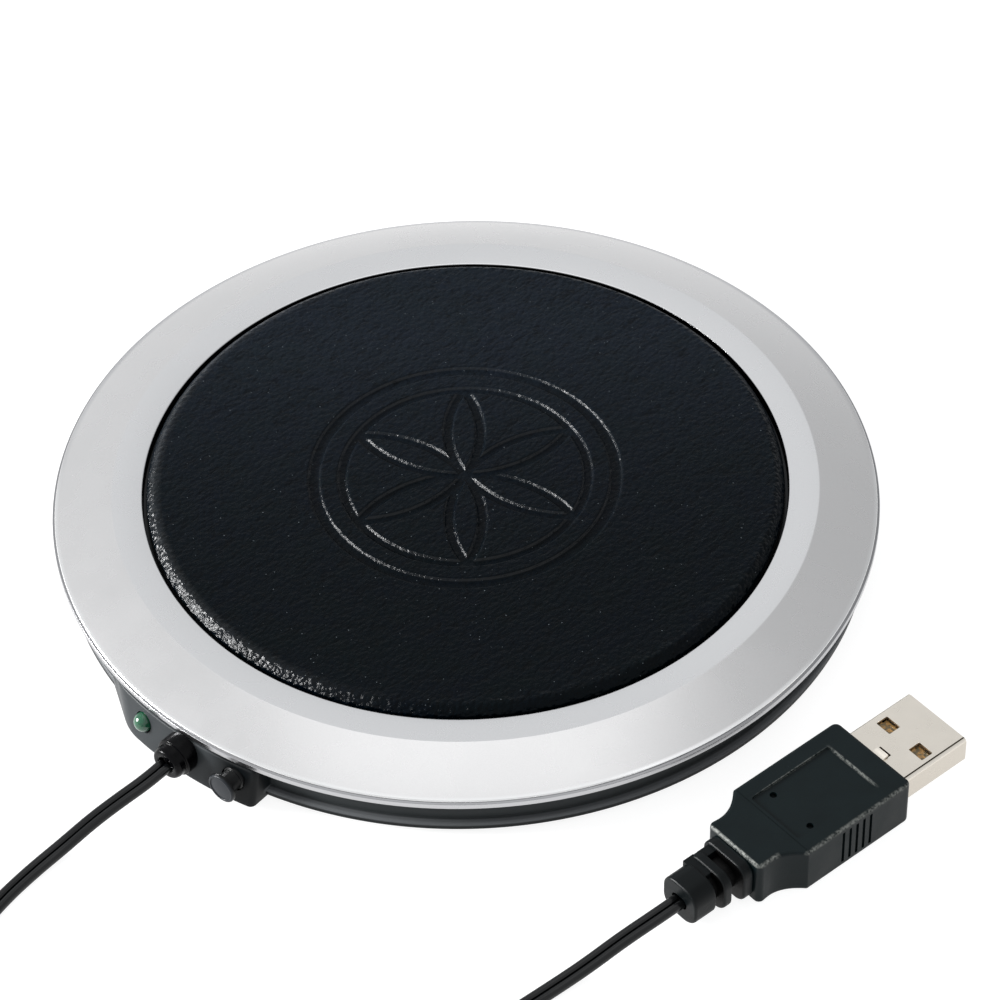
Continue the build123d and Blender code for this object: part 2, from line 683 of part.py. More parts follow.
def make_plug():
    """The USB plug, made along +X with its tip at the origin, then laid in place."""
    place = Pos(*plug_tip, overmold_height / 2) * Rot(0, 0, plug_heading)
    shell_length = shell_bare_length + shell_hidden_length
    shell_back = -shell_length

    outline = RectangleRounded(shell_width, shell_height, shell_corner_radius)
    bore = RectangleRounded(shell_width - 2 * shell_wall, shell_height - 2 * shell_wall,
                            shell_corner_radius - shell_wall / 2)
    shell = Pos(shell_back, 0, 0) * extrude(Plane.YZ * (outline - bore), shell_length)
    for side in (-1, 1):
        y = side * window_offset
        shell = shell - block(-window_from_tip - window_length / 2,
                              -window_from_tip + window_length / 2,
                              y - window_width / 2, y + window_width / 2,
                              -shell_height, shell_height)
    shell = shell - block(-dimple_from_tip - dimple_length / 2, -dimple_from_tip + dimple_length / 2,
                          -dimple_width / 2, dimple_width / 2, 0, shell_height)
    save("usb_shell", place * shell)

    gap = snug_clearance
    inner_half_width = shell_width / 2 - shell_wall - tongue_side_gap
    inner_bottom = -shell_height / 2 + shell_wall + gap
    tongue_top = inner_bottom + tongue_thickness
    tongue = block(shell_back, -tongue_recess, -inner_half_width, inner_half_width,
                   inner_bottom, tongue_top)
    tongue = tongue + block(shell_back, -shell_bare_length, -inner_half_width, inner_half_width,
                            inner_bottom, -inner_bottom)
    save("usb_tongue", place * tongue)
    contacts = []
    for offset in contact_offsets:
        outer_one = abs(offset) == max(contact_offsets)
        length = outer_contact_length if outer_one else inner_contact_length
        contacts.append(place * block(-shell_bare_length, -shell_bare_length + length,
                                      offset - contact_width / 2, offset + contact_width / 2,
                                      tongue_top, tongue_top + contact_thickness))
    save("usb_contacts", *contacts)

    front = -shell_bare_length
    shoulder = front - overmold_length
    neck_end = shoulder - neck_length
    half, neck_half = overmold_width / 2, neck_width / 2
    waist = (shoulder - neck_length * 0.4, half - (half - neck_half) * neck_bulge)
    side_curve = ThreePointArc((shoulder, half), waist, (neck_end, neck_half))
    far_curve = ThreePointArc((neck_end, -neck_half), (waist[0], -waist[1]), (shoulder, -half))
    outline = make_face([
        Line((front, -half), (front, half)),
        Line((front, half), (shoulder, half)),
        side_curve,
        Line((neck_end, neck_half), (neck_end, -neck_half)),
        far_curve,
        Line((shoulder, -half), (front, -half)),
    ])
    body = Pos(0, 0, -overmold_height / 2) * extrude(outline, overmold_height)
    body = fillet(body.edges().filter_by(Axis.Z).group_by(Axis.X)[-1], overmold_corner_radius)
    long_edges = body.edges().filter_by(lambda e: abs(abs(e.center().Z) - overmold_height / 2) < 0.01)
    body = fillet(long_edges, overmold_edge_radius)
    panel_front = front - panel_start
    body = body - block(panel_front - panel_length, panel_front, -panel_width / 2, panel_width / 2,
                        overmold_height / 2 - panel_depth, overmold_height / 2)
    grip_reach = overmold_height / 2 - overmold_edge_radius
    for i in range(grip_count):
        groove_front = front - grip_start - i * grip_pitch
        cut = block(groove_front - grip_width, groove_front, half - grip_depth, half,
                    -grip_reach, grip_reach)
        body = body - cut - mirror(cut, about=Plane.XZ)
    relief_length = sum(relief_segments) + (len(relief_segments) - 1) * relief_slot
    relief = Pos(neck_end, 0, 0) * extrude(Plane.YZ * Circle(relief_core_radius), -relief_length)
    at = neck_end
    slot_fronts = []
    for length, half_width, half_height in zip(relief_segments, relief_half_widths,
                                               relief_half_heights):
        section = RectangleRounded(2 * half_width, 2 * half_height, relief_corner_radius)
        rib = extrude(Plane.YZ * section, -length)
        ends = rib.edges().group_by(Axis.X)
        relief = relief + Pos(at, 0, 0) * chamfer(ends[0] + ends[-1], relief_chamfer)
        slot_fronts.append(at - length)
        at = at - length - relief_slot
    for slot_front, half_height, sides in zip(slot_fronts, relief_half_heights[1:], relief_bridges):
        for side in sides:
            middle = side * (half_height - relief_bridge_depth / 2 - relief_chamfer / 2)
            relief = relief + block(slot_front - relief_slot - relief_chamfer,
                                    slot_front + relief_chamfer,
                                    -relief_bridge_width / 2, relief_bridge_width / 2,
                                    middle - relief_bridge_depth / 2,
                                    middle + relief_bridge_depth / 2)
    pocket = Pos(shell_back - gap, 0, 0) * extrude(
        Plane.YZ * RectangleRounded(shell_width + 2 * gap, shell_height + 2 * gap,
                                    shell_corner_radius),
        shell_hidden_length + gap
    )
    save("usb_overmold", place * (body + relief - pocket))


# ---------------------------------------------------------------- places worked out
board_front = depth_at(base_inner_radius, board_half_width) + board_margin
board_back = board_front + board_depth
lead_tip = floor_top + pin_tip_clearance
lamp_tip = depth_at(pod_radius, lamp_x) - lamp_stand_out
lamp_foot_y = board_front + 1.4
lamp_feet = [(lamp_x - lead_spacing / 2, lamp_foot_y), (lamp_x + lead_spacing / 2, lamp_foot_y)]
switch_front = board_front + 0.4
switch_back = switch_front + switch_depth
cavity_front = switch_front + switch_wall
cavity_back = switch_back - switch_wall
switch_mid_y = (switch_front + switch_back) / 2
switch_feet = [
    (button_x + i * pin_spacing_x / 2, switch_mid_y + j * pin_spacing_y / 2)
    for i in (-1, 1) for j in (-1, 1)
]
resistor_y = switch_mid_y + 2.2
resistor_feet = [(resistor_x - resistor_lead_span / 2, resistor_y),
                 (resistor_x + resistor_lead_span / 2, resistor_y)]
button_face = (depth_at(pod_radius, button_x - button_cap_radius) - button_pressed_gap
               - button_travel - button_cap_length)
button_rear = (button_face + button_cap_length + button_neck_length + button_collar_length
               + button_stem_length)
plunger_tip = button_rear - plunger_grip
grommet_face = -pod_radius - snug_clearance - grommet_flange_thickness - grommet_barrel_length
grommet_tail_end = (depth_at(pod_inner_radius, grommet_back_half_width) + snug_clearance
                    + grommet_back_thickness + grommet_tail_length)
supply_pad_y = board_front + 2.6
heater_pad_y = board_back - 1.6
heater_terminal_y = depth_at(track_outer_radius - track_width / 2, track_gap_half_width)

coil_outer_turn = coil_mid_radius + (coil_columns - 1) / 2 * coil_column_pitch
coil_first_height = coil_lift + coil_layer_pitch / 2
coil_last_height = coil_lift + (coil_layers - 0.5) * coil_layer_pitch


def on_coil(angle, height):
    """A place on the coil's outer turn."""
    x = coil_centre[0] + coil_outer_turn * cos(radians(angle))
    y = coil_centre[1] + coil_outer_turn * sin(radians(angle))
    return x, y, height


def behind_plug(distance, sideways=0.0):
    """A place this far behind the plug's tip, on its axis."""
    heading = radians(plug_heading)
    x = plug_tip[0] - distance * cos(heading) + sideways * sin(heading)
    y = plug_tip[1] - distance * sin(heading) - sideways * cos(heading)
    return x, y, overmold_height / 2


plug_end = (shell_bare_length + overmold_length + neck_length + sum(relief_segments)
            + (len(relief_segments) - 1) * relief_slot)
lead_route = [
    (0.0, grommet_face, axis_height),
    (0.0, grommet_face - 3.6, axis_height),
    (-0.9, -74.9, 4.2),
    (-1.9, -79.6, 3.2),
    (-2.8, -84.6, 2.0),
    (-3.3, -90.5, 1.35),
    (-3.0, -97.3, 1.25),
    (-1.5, -105.2, 1.25),
    (1.7, -113.6, 1.25),
    (6.0, -121.8, 1.3),
    (10.4, -130.3, 1.35),
    on_coil(coil_entry_angle, coil_first_height),
]
tail_route = [
    on_coil(coil_exit_angle, coil_last_height),
    (48.5, -127.0, 5.7),
    (50.9, -118.6, 3.6),
    (53.6, -109.6, 1.7),
    (56.8, -99.2, 1.25),
    (60.2, -87.4, 1.25),
    (63.0, -76.4, 1.25),
    (65.2, -67.0, 1.25),
    (66.7, -60.2, 1.3),
    (67.9, -54.9, 2.0),
    (69.45, -48.9, 3.2),
    behind_plug(plug_end + 3.6),
    behind_plug(plug_end),
]

os.makedirs("parts", exist_ok=True)
make_base_shell()
make_foot_ring()
make_silver_ring()
make_hot_plate_stack()
make_heater_track()
make_screws()
make_board()
make_lamp()
make_resistor()
make_switch()
make_button()
make_grommet()
make_inner_wires()
make_cord()
make_plug()
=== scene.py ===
from math import acos, asin, atan2, cos, hypot, pi, radians, sin, sqrt, tan

import bmesh
import bpy
from mathutils import Matrix, Vector, noise


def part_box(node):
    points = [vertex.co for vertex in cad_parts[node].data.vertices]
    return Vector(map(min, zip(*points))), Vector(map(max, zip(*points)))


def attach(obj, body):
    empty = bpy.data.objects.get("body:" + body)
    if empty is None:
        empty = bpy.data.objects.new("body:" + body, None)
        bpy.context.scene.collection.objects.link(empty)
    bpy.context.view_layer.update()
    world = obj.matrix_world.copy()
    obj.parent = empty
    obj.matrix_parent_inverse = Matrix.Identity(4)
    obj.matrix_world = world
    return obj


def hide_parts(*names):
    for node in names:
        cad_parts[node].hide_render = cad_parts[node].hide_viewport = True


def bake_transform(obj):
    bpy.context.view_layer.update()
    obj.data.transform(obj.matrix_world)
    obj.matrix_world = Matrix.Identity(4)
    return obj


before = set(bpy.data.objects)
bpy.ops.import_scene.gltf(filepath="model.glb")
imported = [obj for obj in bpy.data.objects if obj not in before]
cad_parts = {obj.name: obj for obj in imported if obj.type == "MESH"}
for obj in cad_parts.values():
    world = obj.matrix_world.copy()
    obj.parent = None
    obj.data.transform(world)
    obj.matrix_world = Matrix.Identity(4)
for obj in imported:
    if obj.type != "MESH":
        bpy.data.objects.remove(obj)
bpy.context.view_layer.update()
scene = bpy.context.scene
MM = 0.001


# ---- dimensions, millimetres
LIP_BOTTOM, LIP_STEP, LIP_TOP, CREST = 7.5, 8.44, 8.72, 11.46
RING_R, STEP_R, LIP_INNER_R, CREST_R, OPENING_R = 62.0, 61.62, 60.8, 52.9, 48.3
INNER_EDGE, LEDGE_TOP, LEDGE_BOTTOM, LEDGE_R = 11.21, 9.61, 7.81, 45.2
RING_ROOF, LEDGE_OUTER_R, SKIRT_INNER_R, SKIRT_R = 9.85, 49.9, 56.4, 57.5
PAD_R, PAD_TOP, PLATE_R, PLATE_TOP = 47.75, 12.31, 46.8, 11.21
CROWN_WIDTH, CROWN_DROP = 1.7, 1.61
BASE_R, BASE_FOOT_R, BASE_INNER_R = 59.4, 60.5, 57.6
FLOOR_LOW, FLOOR_TOP, STEP_TOP, SEAT = 1.0, 2.4, 2.65, 8.2
POD_R, POD_TOP_R, POD_INNER_R, POD_TOP, POD_ROOM_TOP = 63.6, 62.2, 60.9, 7.4, 6.85
POD_RIGHT, POD_FACE_LEFT, POD_FLANK_END, POD_ROOM_HALF, POD_BACK = 12.8, 11.0, 18.6, 11.2, -50
AXIS_Z, HOLE_FRONT = 4.9, -65.5
LAMP_X, BUTTON_X, GROMMET_FACE = -8.1, 9.2, -66.3
BOSS_CIRCLE, BOSS_FOOT = 53.15, 4.4
PLUG_TIP, PLUG_HEADING, PLUG_Z = (80.26, 9.44), 80.0, 3.95
SHELL_BACK, WINDOW_Y = -18.8, 3.3

# Directions in degrees, counterclockwise from +X
CASE_SCREWS, PLATE_SCREWS = (45, 135, 225, 315), (90, 210, 330)
FAR_SIDE, RIGHT_SIDE, LEFT_SIDE = 131.0, -13.0, -145.0


# ---- mesh helpers
def rounded(corners, steps=5):
    """A closed 2-D outline from (x, y, corner radius) triples."""
    outline = []
    for i, (x, y, radius) in enumerate(corners):
        if not radius:
            outline.append((x, y))
            continue
        here = Vector((x, y))
        back = Vector(corners[i - 1][:2]) - here
        ahead = Vector(corners[(i + 1) % len(corners)][:2]) - here
        half = back.angle(ahead) / 2
        reach = min(radius / tan(half), 0.49 * min(back.length, ahead.length))
        arc = reach * tan(half)
        centre = here + (back.normalized() + ahead.normalized()).normalized() * (arc / sin(half))
        first = here + back.normalized() * reach - centre
        last = here + ahead.normalized() * reach - centre
        start = atan2(first.y, first.x)
        sweep = (atan2(last.y, last.x) - start + pi) % (2 * pi) - pi
        for k in range(steps + 1):
            angle = start + sweep * k / steps
            outline.append((centre.x + arc * cos(angle), centre.y + arc * sin(angle)))
    return outline


def inset(outline, distance):
    """The outline moved inwards by a distance, point for point. It runs counterclockwise."""
    drawn = []
    for i, point in enumerate(outline):
        here = Vector(point)
        back = (here - Vector(outline[i - 1])).normalized()
        ahead = (Vector(outline[(i + 1) % len(outline)]) - here).normalized()
        normal = Vector((-(back.y + ahead.y), back.x + ahead.x)).normalized()
        bend = max(0.3, sqrt(max(0.0, (1 + back.dot(ahead)) / 2)))
        drawn.append(tuple(here + normal * distance / bend))
    return drawn


def circle(radius, height, count):
    """Points round a level circle about Z."""
    angles = [2 * pi * i / count for i in range(count)]
    return [(radius * cos(a), radius * sin(a), height) for a in angles]


def skin(loops, closed=False):
    """Vertices and faces over loops of points. A loop of one point is the tip of a fan."""
    points, rows, faces = [], [], []
    count = max(len(loop) for loop in loops)
    for loop in loops:
        rows.append([len(points) + i % len(loop) for i in range(count)])
        points += loop
    for low, high in zip(rows, rows[1:] + (rows[:1] if closed else [])):
        for i in range(count):
            j = (i + 1) % count
            face = list(dict.fromkeys((low[i], low[j], high[j], high[i])))
            if len(face) > 2:
                faces.append(face)
    return points, faces


def lathe(outline, segments):
    """A closed (radius, height) outline turned about Z."""
    return skin([circle(radius, height, segments) if radius > 1e-6 else [(0, 0, height)]
                 for radius, height in outline], closed=True)


def rod(radius, low, high, segments=32):
    """A plain cylinder about Z."""
    return lathe([(0, low), (radius, low), (radius, high), (0, high)], segments)


def stacked(loops):
    """A solid over loops of as many points each, closed at both ends."""
    points, faces = skin(loops)
    count = len(loops[0])
    ends = [list(range(count))[::-1], list(range(len(points) - count, len(points)))]
    return points, ends + faces


def quarter(radius, steps):
    """(rise, inset) pairs up a rounded lower edge, or one pair of zeros for a sharp one."""
    if not radius:
        return [(0.0, 0.0)]
    bends = [pi / 2 * k / steps for k in range(steps + 1)]
    return [(radius * (1 - cos(a)), radius * (1 - sin(a))) for a in bends]


def slab(outline, low, high, round_low=0.0, round_high=0.0, steps=4):
    """An outline raised from one height to another, with rounded lower and upper edges."""
    levels = [(low + rise, d) for rise, d in quarter(round_low, steps)]
    levels += [(high - fall, d) for fall, d in quarter(round_high, steps)[::-1]]
    return stacked([[(x, y, z) for x, y in inset(outline, d)] for z, d in levels])


def rectangle(x_low, x_high, y_low, y_high, corner=0.0, steps=5):
    """A rectangle's outline, counterclockwise, with rounded corners."""
    return rounded([(x_low, y_low, corner), (x_high, y_low, corner),
                    (x_high, y_high, corner), (x_low, y_high, corner)], steps)


def box(x_low, x_high, y_low, y_high, z_low, z_high):
    return slab(rectangle(x_low, x_high, y_low, y_high), z_low, z_high)


def moved(shape, matrix):
    """A shape's vertices under a matrix, with its faces."""
    points, faces = shape
    return [tuple(matrix @ Vector(p)) for p in points], faces


def at(x, y, z=0.0):
    return Matrix.Translation((x, y, z))


def turn(degrees, axis):
    return Matrix.Rotation(radians(degrees), 4, axis)


def along_y(shape, x, y):
    """A shape about Z laid down along +Y, from a place at the controls' height."""
    return moved(shape, at(x, y, AXIS_Z) @ turn(-90, "X"))


def polar(radius, degrees, centre=(0, 0)):
    """The place at a distance and in a direction from a centre."""
    return centre[0] + radius * cos(radians(degrees)), centre[1] + radius * sin(radians(degrees))


def by_screw(shape, angle):
    """A shape moved onto the circle of screws."""
    return moved(shape, at(*polar(BOSS_CIRCLE, angle)))


def joined(*shapes):
    """Separate shapes as one."""
    points, faces = [], []
    for some_points, some_faces in shapes:
        faces += [[i + len(points) for i in face] for face in some_faces]
        points += some_points
    return points, faces


def place_object(name, data):
    """A new object in the scene."""
    thing = bpy.data.objects.new(name, data)
    scene.collection.objects.link(thing)
    return thing


def shade(thing, sharp=35.0):
    """Shades a piece smooth but for its edges sharper than this many degrees."""
    thing.data.shade_smooth()
    thing.data.set_sharp_from_angle(angle=radians(sharp))


def build(name, shape, sharp=35.0):
    """A mesh object from a shape in millimetres."""
    points, faces = shape
    mesh = bpy.data.meshes.new(name)
    mesh.from_pydata([tuple(c * MM for c in p) for p in points], [], faces)
    solid = bmesh.new()
    solid.from_mesh(mesh)
    bmesh.ops.recalc_face_normals(solid, faces=solid.faces)
    solid.to_mesh(mesh)
    solid.free()
    thing = place_object(name, mesh)
    shade(thing, sharp)
    return thing


def settle(thing):
    """Applies a piece's modifiers to its mesh."""
    graph = bpy.context.evaluated_depsgraph_get()
    mesh = bpy.data.meshes.new_from_object(thing.evaluated_get(graph))
    old = thing.data
    thing.modifiers.clear()
    thing.data = mesh
    bpy.data.meshes.remove(old)
    shade(thing)


def carve(thing, tool, operation="DIFFERENCE"):
    """Cuts a shape or a piece out of a piece, or adds it."""
    if not isinstance(tool, bpy.types.Object):
        tool = build("tool", tool)
    cutter = thing.modifiers.new("cut", "BOOLEAN")
    cutter.operation = operation
    cutter.solver = "EXACT"
    cutter.object = tool
    settle(thing)
    bpy.data.meshes.remove(tool.data)


def soften(thing, width, angle):
    """Rounds a piece's edges that are sharper than this many degrees."""
    edge = thing.modifiers.new("edge", "BEVEL")
    edge.width = width * MM
    edge.segments = 2
    edge.limit_method = "ANGLE"
    edge.angle_limit = radians(angle)
    settle(thing)


def fit(thing, paint, slot, *nodes, body="housing"):
    """Gives a piece its material and body, and hides the CAD nodes that it stands for. Its slot is not
    used.
    """
    thing.data.materials.clear()
    thing.data.materials.append(paint.material)
    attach(thing, body)
    if nodes:
        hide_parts(*nodes)
    return thing


# ---- material helpers
def tone(red, green, blue):
    """A display colour of 0 to 255 as linear light."""
    shares = [c / 255 for c in (red, green, blue)]
    light = [c / 12.92 if c <= 0.04045 else ((c + 0.055) / 1.055) ** 2.4 for c in shares]
    return (*light, 1.0)


def scaled(colour, factor):
    """A linear colour made darker or brighter."""
    return (*(min(1.0, c * factor) for c in colour[:3]), 1.0)


def put(value, socket):
    """Gives a node's input a value, or links it to an output or to a node's first output."""
    if isinstance(value, bpy.types.Node):
        value = value.outputs[0]
    if isinstance(value, bpy.types.NodeSocket):
        socket.id_data.links.new(value, socket)
    else:
        socket.default_value = value


def add_node(tree, kind, inputs, **settings):
    """A new shader node with its settings and with values or links in its inputs."""
    node = tree.nodes.new("ShaderNode" + kind)
    for key, value in settings.items():
        setattr(node, key, value)
    for socket, value in inputs.items():
        put(value, node.inputs[socket])
    return node


class Paint:
    """A procedural material round one Principled shader. Textures lie in the object's metres."""

    def __init__(self, name, colour, **sockets):
        self.material = bpy.data.materials.new(name)
        self.material.use_nodes = True
        self.tree = self.material.node_tree
        self.shader = self.tree.nodes["Principled BSDF"]
        self.place = self.add("TexCoord", "Object", {})
        self.colour = tone(*colour)
        self.last_normal = None
        self.cover(self.colour)
        for socket, value in sockets.items():
            self.set(socket.replace("_", " "), value)
        self.material.diffuse_color = self.colour

    def add(self, kind, output, inputs, **settings):
        """A new node's output."""
        return add_node(self.tree, kind, inputs, **settings).outputs[output]

    def set(self, socket, value):
        """Gives one of the shader's inputs a value or a link. The name may be in lower case."""
        put(value, {s.name.lower(): s for s in self.shader.inputs}[socket.lower()])

    def cover(self, colour):
        """Makes this the colour of the surface, whatever was there."""
        self.face = colour
        self.set("Base Color", colour)

    def tint(self, share, *colour):
        """Brings the surface to a display colour by a share."""
        self.cover(self.blend(share, self.face, tone(*colour)))

    def stretched(self, scale=(1, 1, 1), degrees=0.0):
        """The texture place, turned about Z and then scaled along its axes."""
        turned = self.add("Mapping", "Vector",
                          {"Vector": self.place, "Rotation": (0, 0, radians(degrees))})
        return self.add("Mapping", "Vector", {"Vector": turned, "Scale": scale})

    def grain(self, size, detail=3.0, roughness=0.5, distortion=0.0, place=None):
        """Smooth noise whose features are this many millimetres across."""
        return self.add("TexNoise", "Fac", {
            "Vector": place or self.place, "Scale": 1 / (size * MM), "Detail": detail,
            "Roughness": roughness, "Distortion": distortion,
        })

    def cells(self, size, feature="F1", **inputs):
        """The distance to the nearest of cells of this many millimetres."""
        return self.add("TexVoronoi", "Distance", {
            "Vector": self.place, "Scale": 1 / (size * MM), **inputs,
        }, feature=feature)

    def span(self, value, low, high, to_low=0.0, to_high=1.0):
        """A value between two limits brought to two others."""
        return self.add("MapRange", "Result", {
            "Value": value, "From Min": low, "From Max": high, "To Min": to_low, "To Max": to_high,
        }, clamp=True)

    def ramp(self, value, low, high, *ends):
        """A coordinate between two limits in millimetres, brought to 0 and 1 or to other ends."""
        return self.span(value, low * MM, high * MM, *ends)

    def near(self, value, middle, outer, inner=None):
        """1 within an inner distance of a coordinate, 0 beyond an outer one, in millimetres."""
        away = self.maths("ABSOLUTE", self.maths("SUBTRACT", value, middle * MM), 0.0)
        return self.ramp(away, outer, inner or 0.5 * outer)

    def maths(self, operation, first, *others):
        """One value and others put together, one after another."""
        for other in others:
            first = self.add("Math", "Value", {0: first, 1: other}, operation=operation)
        return first

    def times(self, *values):
        return self.maths("MULTIPLY", *values)

    def most(self, *values):
        return self.maths("MAXIMUM", *values)

    def blend(self, share, first, second):
        """One colour going over into another."""
        return self.add("Mix", 2, {0: share, 6: first, 7: second}, data_type="RGBA")

    def axis(self, place, index):
        """One coordinate of a texture place, in metres."""
        return self.add("SeparateXYZ", index, {0: place})

    def along(self, heading):
        """The level coordinate in a direction, in metres from the disc's axis."""
        return self.axis(self.stretched(degrees=-heading), 0)

    def reach(self):
        """The distance from the disc's axis, in metres."""
        place = self.stretched((1, 1, 0))
        return self.add("VectorMath", "Value", {0: place}, operation="LENGTH")

    def bump(self, height, depth, strength=1.0):
        """Raises the surface by a texture, with a depth in millimetres, on what is there."""
        inputs = {"Strength": strength, "Distance": depth * MM, "Height": height}
        if self.last_normal:
            inputs["Normal"] = self.last_normal
        self.last_normal = self.add("Bump", "Normal", inputs)
        self.set("Normal", self.last_normal)

    def gloss(self, size, low, high):
        """Roughness between two values over patches of this many millimetres."""
        patches = self.grain(size, detail=4.0, roughness=0.6)
        self.set("Roughness", self.span(patches, 0.3, 0.7, low, high))
        return self.span(patches, 0.3, 0.7)

    def vary(self, size, share, low, high):
        """Uneven gloss over patches, and a colour that varies with it by a share."""
        self.cover(self.blend(self.gloss(size, low, high), scaled(self.colour, 1 - share),
                              scaled(self.colour, 1 + share)))


def plain(name, colour, roughness, size=3.0, grain=0.25, depth=0.02, share=0.15, **sockets):
    """A material with patches and a fine grain, for parts with no more to show."""
    paint = Paint(name, colour, **sockets)
    paint.vary(size, share, roughness * 0.85, min(1.0, roughness * 1.15))
    paint.bump(paint.grain(grain), depth)
    return paint


def ring_silver():
    """Satin silver plating, finely speckled, with painted shade on the outer edge at the far side and a
    painted highlight along the lip's upper corner elsewhere, brightest at the right. The lip, its
    groove and the inside of the opening are darker: painted shade."""
    paint = Paint("satin_silver", (226, 226, 227), metallic=1.0)
    paint.gloss(9.0, 0.25, 0.30)
    speckle = paint.grain(0.16, roughness=0.7)
    spread = paint.span(speckle, 0.35, 0.65)
    bands = [paint.blend(spread, scaled(colour, 0.97), scaled(colour, 1.02))
             for colour in (paint.colour, tone(222, 221, 221))]
    reach = paint.reach()
    height = paint.axis(paint.place, 2)
    paint.cover(paint.blend(paint.ramp(reach, CREST_R - 0.2, CREST_R + 0.2), *bands))
    # Painted shade: the outer edge is darker at the far side.
    far = paint.ramp(paint.along(FAR_SIDE), 0.0, 30.0)
    edge = paint.ramp(reach, RING_R - 1.3, RING_R - 0.6)
    paint.tint(paint.times(edge, far), 192, 192, 194)
    # Painted highlight along the lip's upper corner, away from the far side, brightest at the right.
    corner = paint.times(paint.ramp(reach, RING_R - 1.0, RING_R - 0.65),
                         paint.ramp(height, LIP_STEP + 0.10, LIP_STEP + 0.16),
                         paint.span(far, 0.0, 0.3, 1.0, 0.0))
    right = paint.ramp(paint.along(RIGHT_SIDE), 58.4, 60.2)
    edge_highlight = paint.blend(right, tone(230, 230, 230), tone(255, 255, 255))
    paint.cover(paint.blend(corner, paint.face, edge_highlight))
    # Painted shade: the lip's face is darker, and its groove darker still.
    lip = paint.ramp(reach, RING_R - 0.7, RING_R - 0.55)
    paint.tint(paint.times(lip, paint.ramp(height, LIP_STEP + 0.08, LIP_STEP)), 184, 184, 186)
    paint.tint(paint.times(lip, paint.near(height, LIP_STEP, 0.13)), 156, 156, 158)
    # Painted shade: the inside of the opening is near black, like the gap round the pad.
    paint.tint(paint.ramp(reach, OPENING_R + 0.14, OPENING_R + 0.03), 46, 47, 48)
    paint.bump(speckle, 0.004, 0.15)
    return paint


def leather():
    """Blue-black leather with fine creases deepened by painted shade, a few pale dots of painted glint,
    and a painted sheen that makes it paler towards the far side. Its crown is polished at the left, and
    so are the walls of its pressed lines."""
    paint = Paint("pressed_leather", (5, 8, 10), specular_ior_level=0.065, coat_roughness=0.24)
    patches = paint.span(paint.grain(7.0, detail=5.0, roughness=0.65), 0.35, 0.65)
    # Painted sheen: the colour is paler towards the far side.
    far = paint.ramp(paint.along(FAR_SIDE), -34.0, 30.0)
    far = paint.times(far, far)
    paint.cover(paint.blend(patches, paint.blend(far, tone(0, 4, 10), tone(15, 21, 29)),
                            paint.blend(far, tone(0, 5, 8), tone(14, 21, 27))))
    folds = paint.grain(0.85, detail=4.0, roughness=0.65, distortion=1.2,
                        place=paint.stretched((1.0, 0.3, 1.0), 10))
    # Painted shade in the creases.
    paint.tint(paint.span(folds, 0.36, 0.50, 0.55, 0.0), 1, 2, 3)
    # Painted glints: a few pale dots.
    glint_dots = paint.span(paint.cells(0.9), 0.11, 0.06)
    few = paint.span(paint.grain(0.8, detail=1.0), 0.57, 0.60)
    paint.tint(paint.times(glint_dots, few), 82, 88, 92)
    crown = paint.ramp(paint.reach(), PAD_R - 2.4, PAD_R - 1.2)
    left = paint.ramp(paint.along(LEFT_SIDE), 4.0, 34.0)
    walls = paint.near(paint.axis(paint.place, 2), PAD_TOP - 0.30, 0.2)
    polish = paint.most(paint.times(crown, left),
                        paint.times(walls, paint.span(crown, 0.0, 1.0, 0.9, 0.0)))
    paint.set("Coat Weight", paint.times(polish, 0.4))
    pebbles = paint.maths("SUBTRACT", 1.0, paint.cells(0.76, "SMOOTH_F1", Smoothness=0.25))
    pebbles = paint.times(pebbles, paint.span(crown, 0.0, 1.0, 0.4, 1.0))
    fine = paint.grain(0.28, roughness=0.6)
    paint.set("Roughness", paint.span(fine, 0.3, 0.7, 0.22, 0.34))
    fine = paint.times(fine, paint.span(crown, 0.0, 1.0, 1.0, 0.4))
    paint.bump(folds, 0.16, 0.9)
    paint.bump(pebbles, 0.27, 0.9)
    paint.bump(fine, 0.06, 0.8)
    paint.set("Coat Normal", paint.last_normal)
    return paint


def base_plastic():
    """Black moulded plastic: a dark foot, a pale painted highlight along its step, a wall darker
    upwards with painted shade under the lip, and a grey pod with painted shade on its right part.
    """
    paint = Paint("base_plastic", (44, 47, 49), specular_ior_level=0.14)
    paint.vary(5.0, 0.12, 0.36, 0.46)
    x, y, z = (paint.axis(paint.place, i) for i in range(3))
    # Painted shade on the pod's right part, beside the button.
    paint.tint(paint.times(paint.near(x, 11.5, 7.5), paint.ramp(y, -57.0, -58.0)), 6, 9, 11)
    grey = paint.face
    reach = paint.reach()
    foot = paint.ramp(reach, BASE_R + 0.1, BASE_R + 0.4)
    pod = paint.ramp(reach, BASE_FOOT_R + 0.1, BASE_FOOT_R + 0.8)
    # Painted shade: the wall is darker upwards, under the lip.
    paint.cover(paint.blend(paint.ramp(z, 3.0, 5.0), tone(46, 49, 50), tone(36, 39, 41)))
    paint.tint(foot, 12, 16, 18)
    # Painted highlight: a pale line along the step.
    paint.tint(paint.times(foot, paint.near(z, STEP_TOP - 0.1, 0.5)), 82, 84, 86)
    paint.cover(paint.blend(pod, paint.face, grey))
    paint.bump(paint.grain(0.22), 0.018, 0.6)
    paint.bump(paint.grain(3.5, detail=1.0), 0.05, 0.25)
    return paint


def on_plug(paint):
    """The plug's own X, Y and Z coordinates in metres, and where its tip is on them, in mm."""
    place = paint.stretched(degrees=-PLUG_HEADING)
    tip = turn(-PLUG_HEADING, "Z") @ Vector((*PLUG_TIP, 0))
    return *(paint.axis(place, i) for i in range(3)), tip


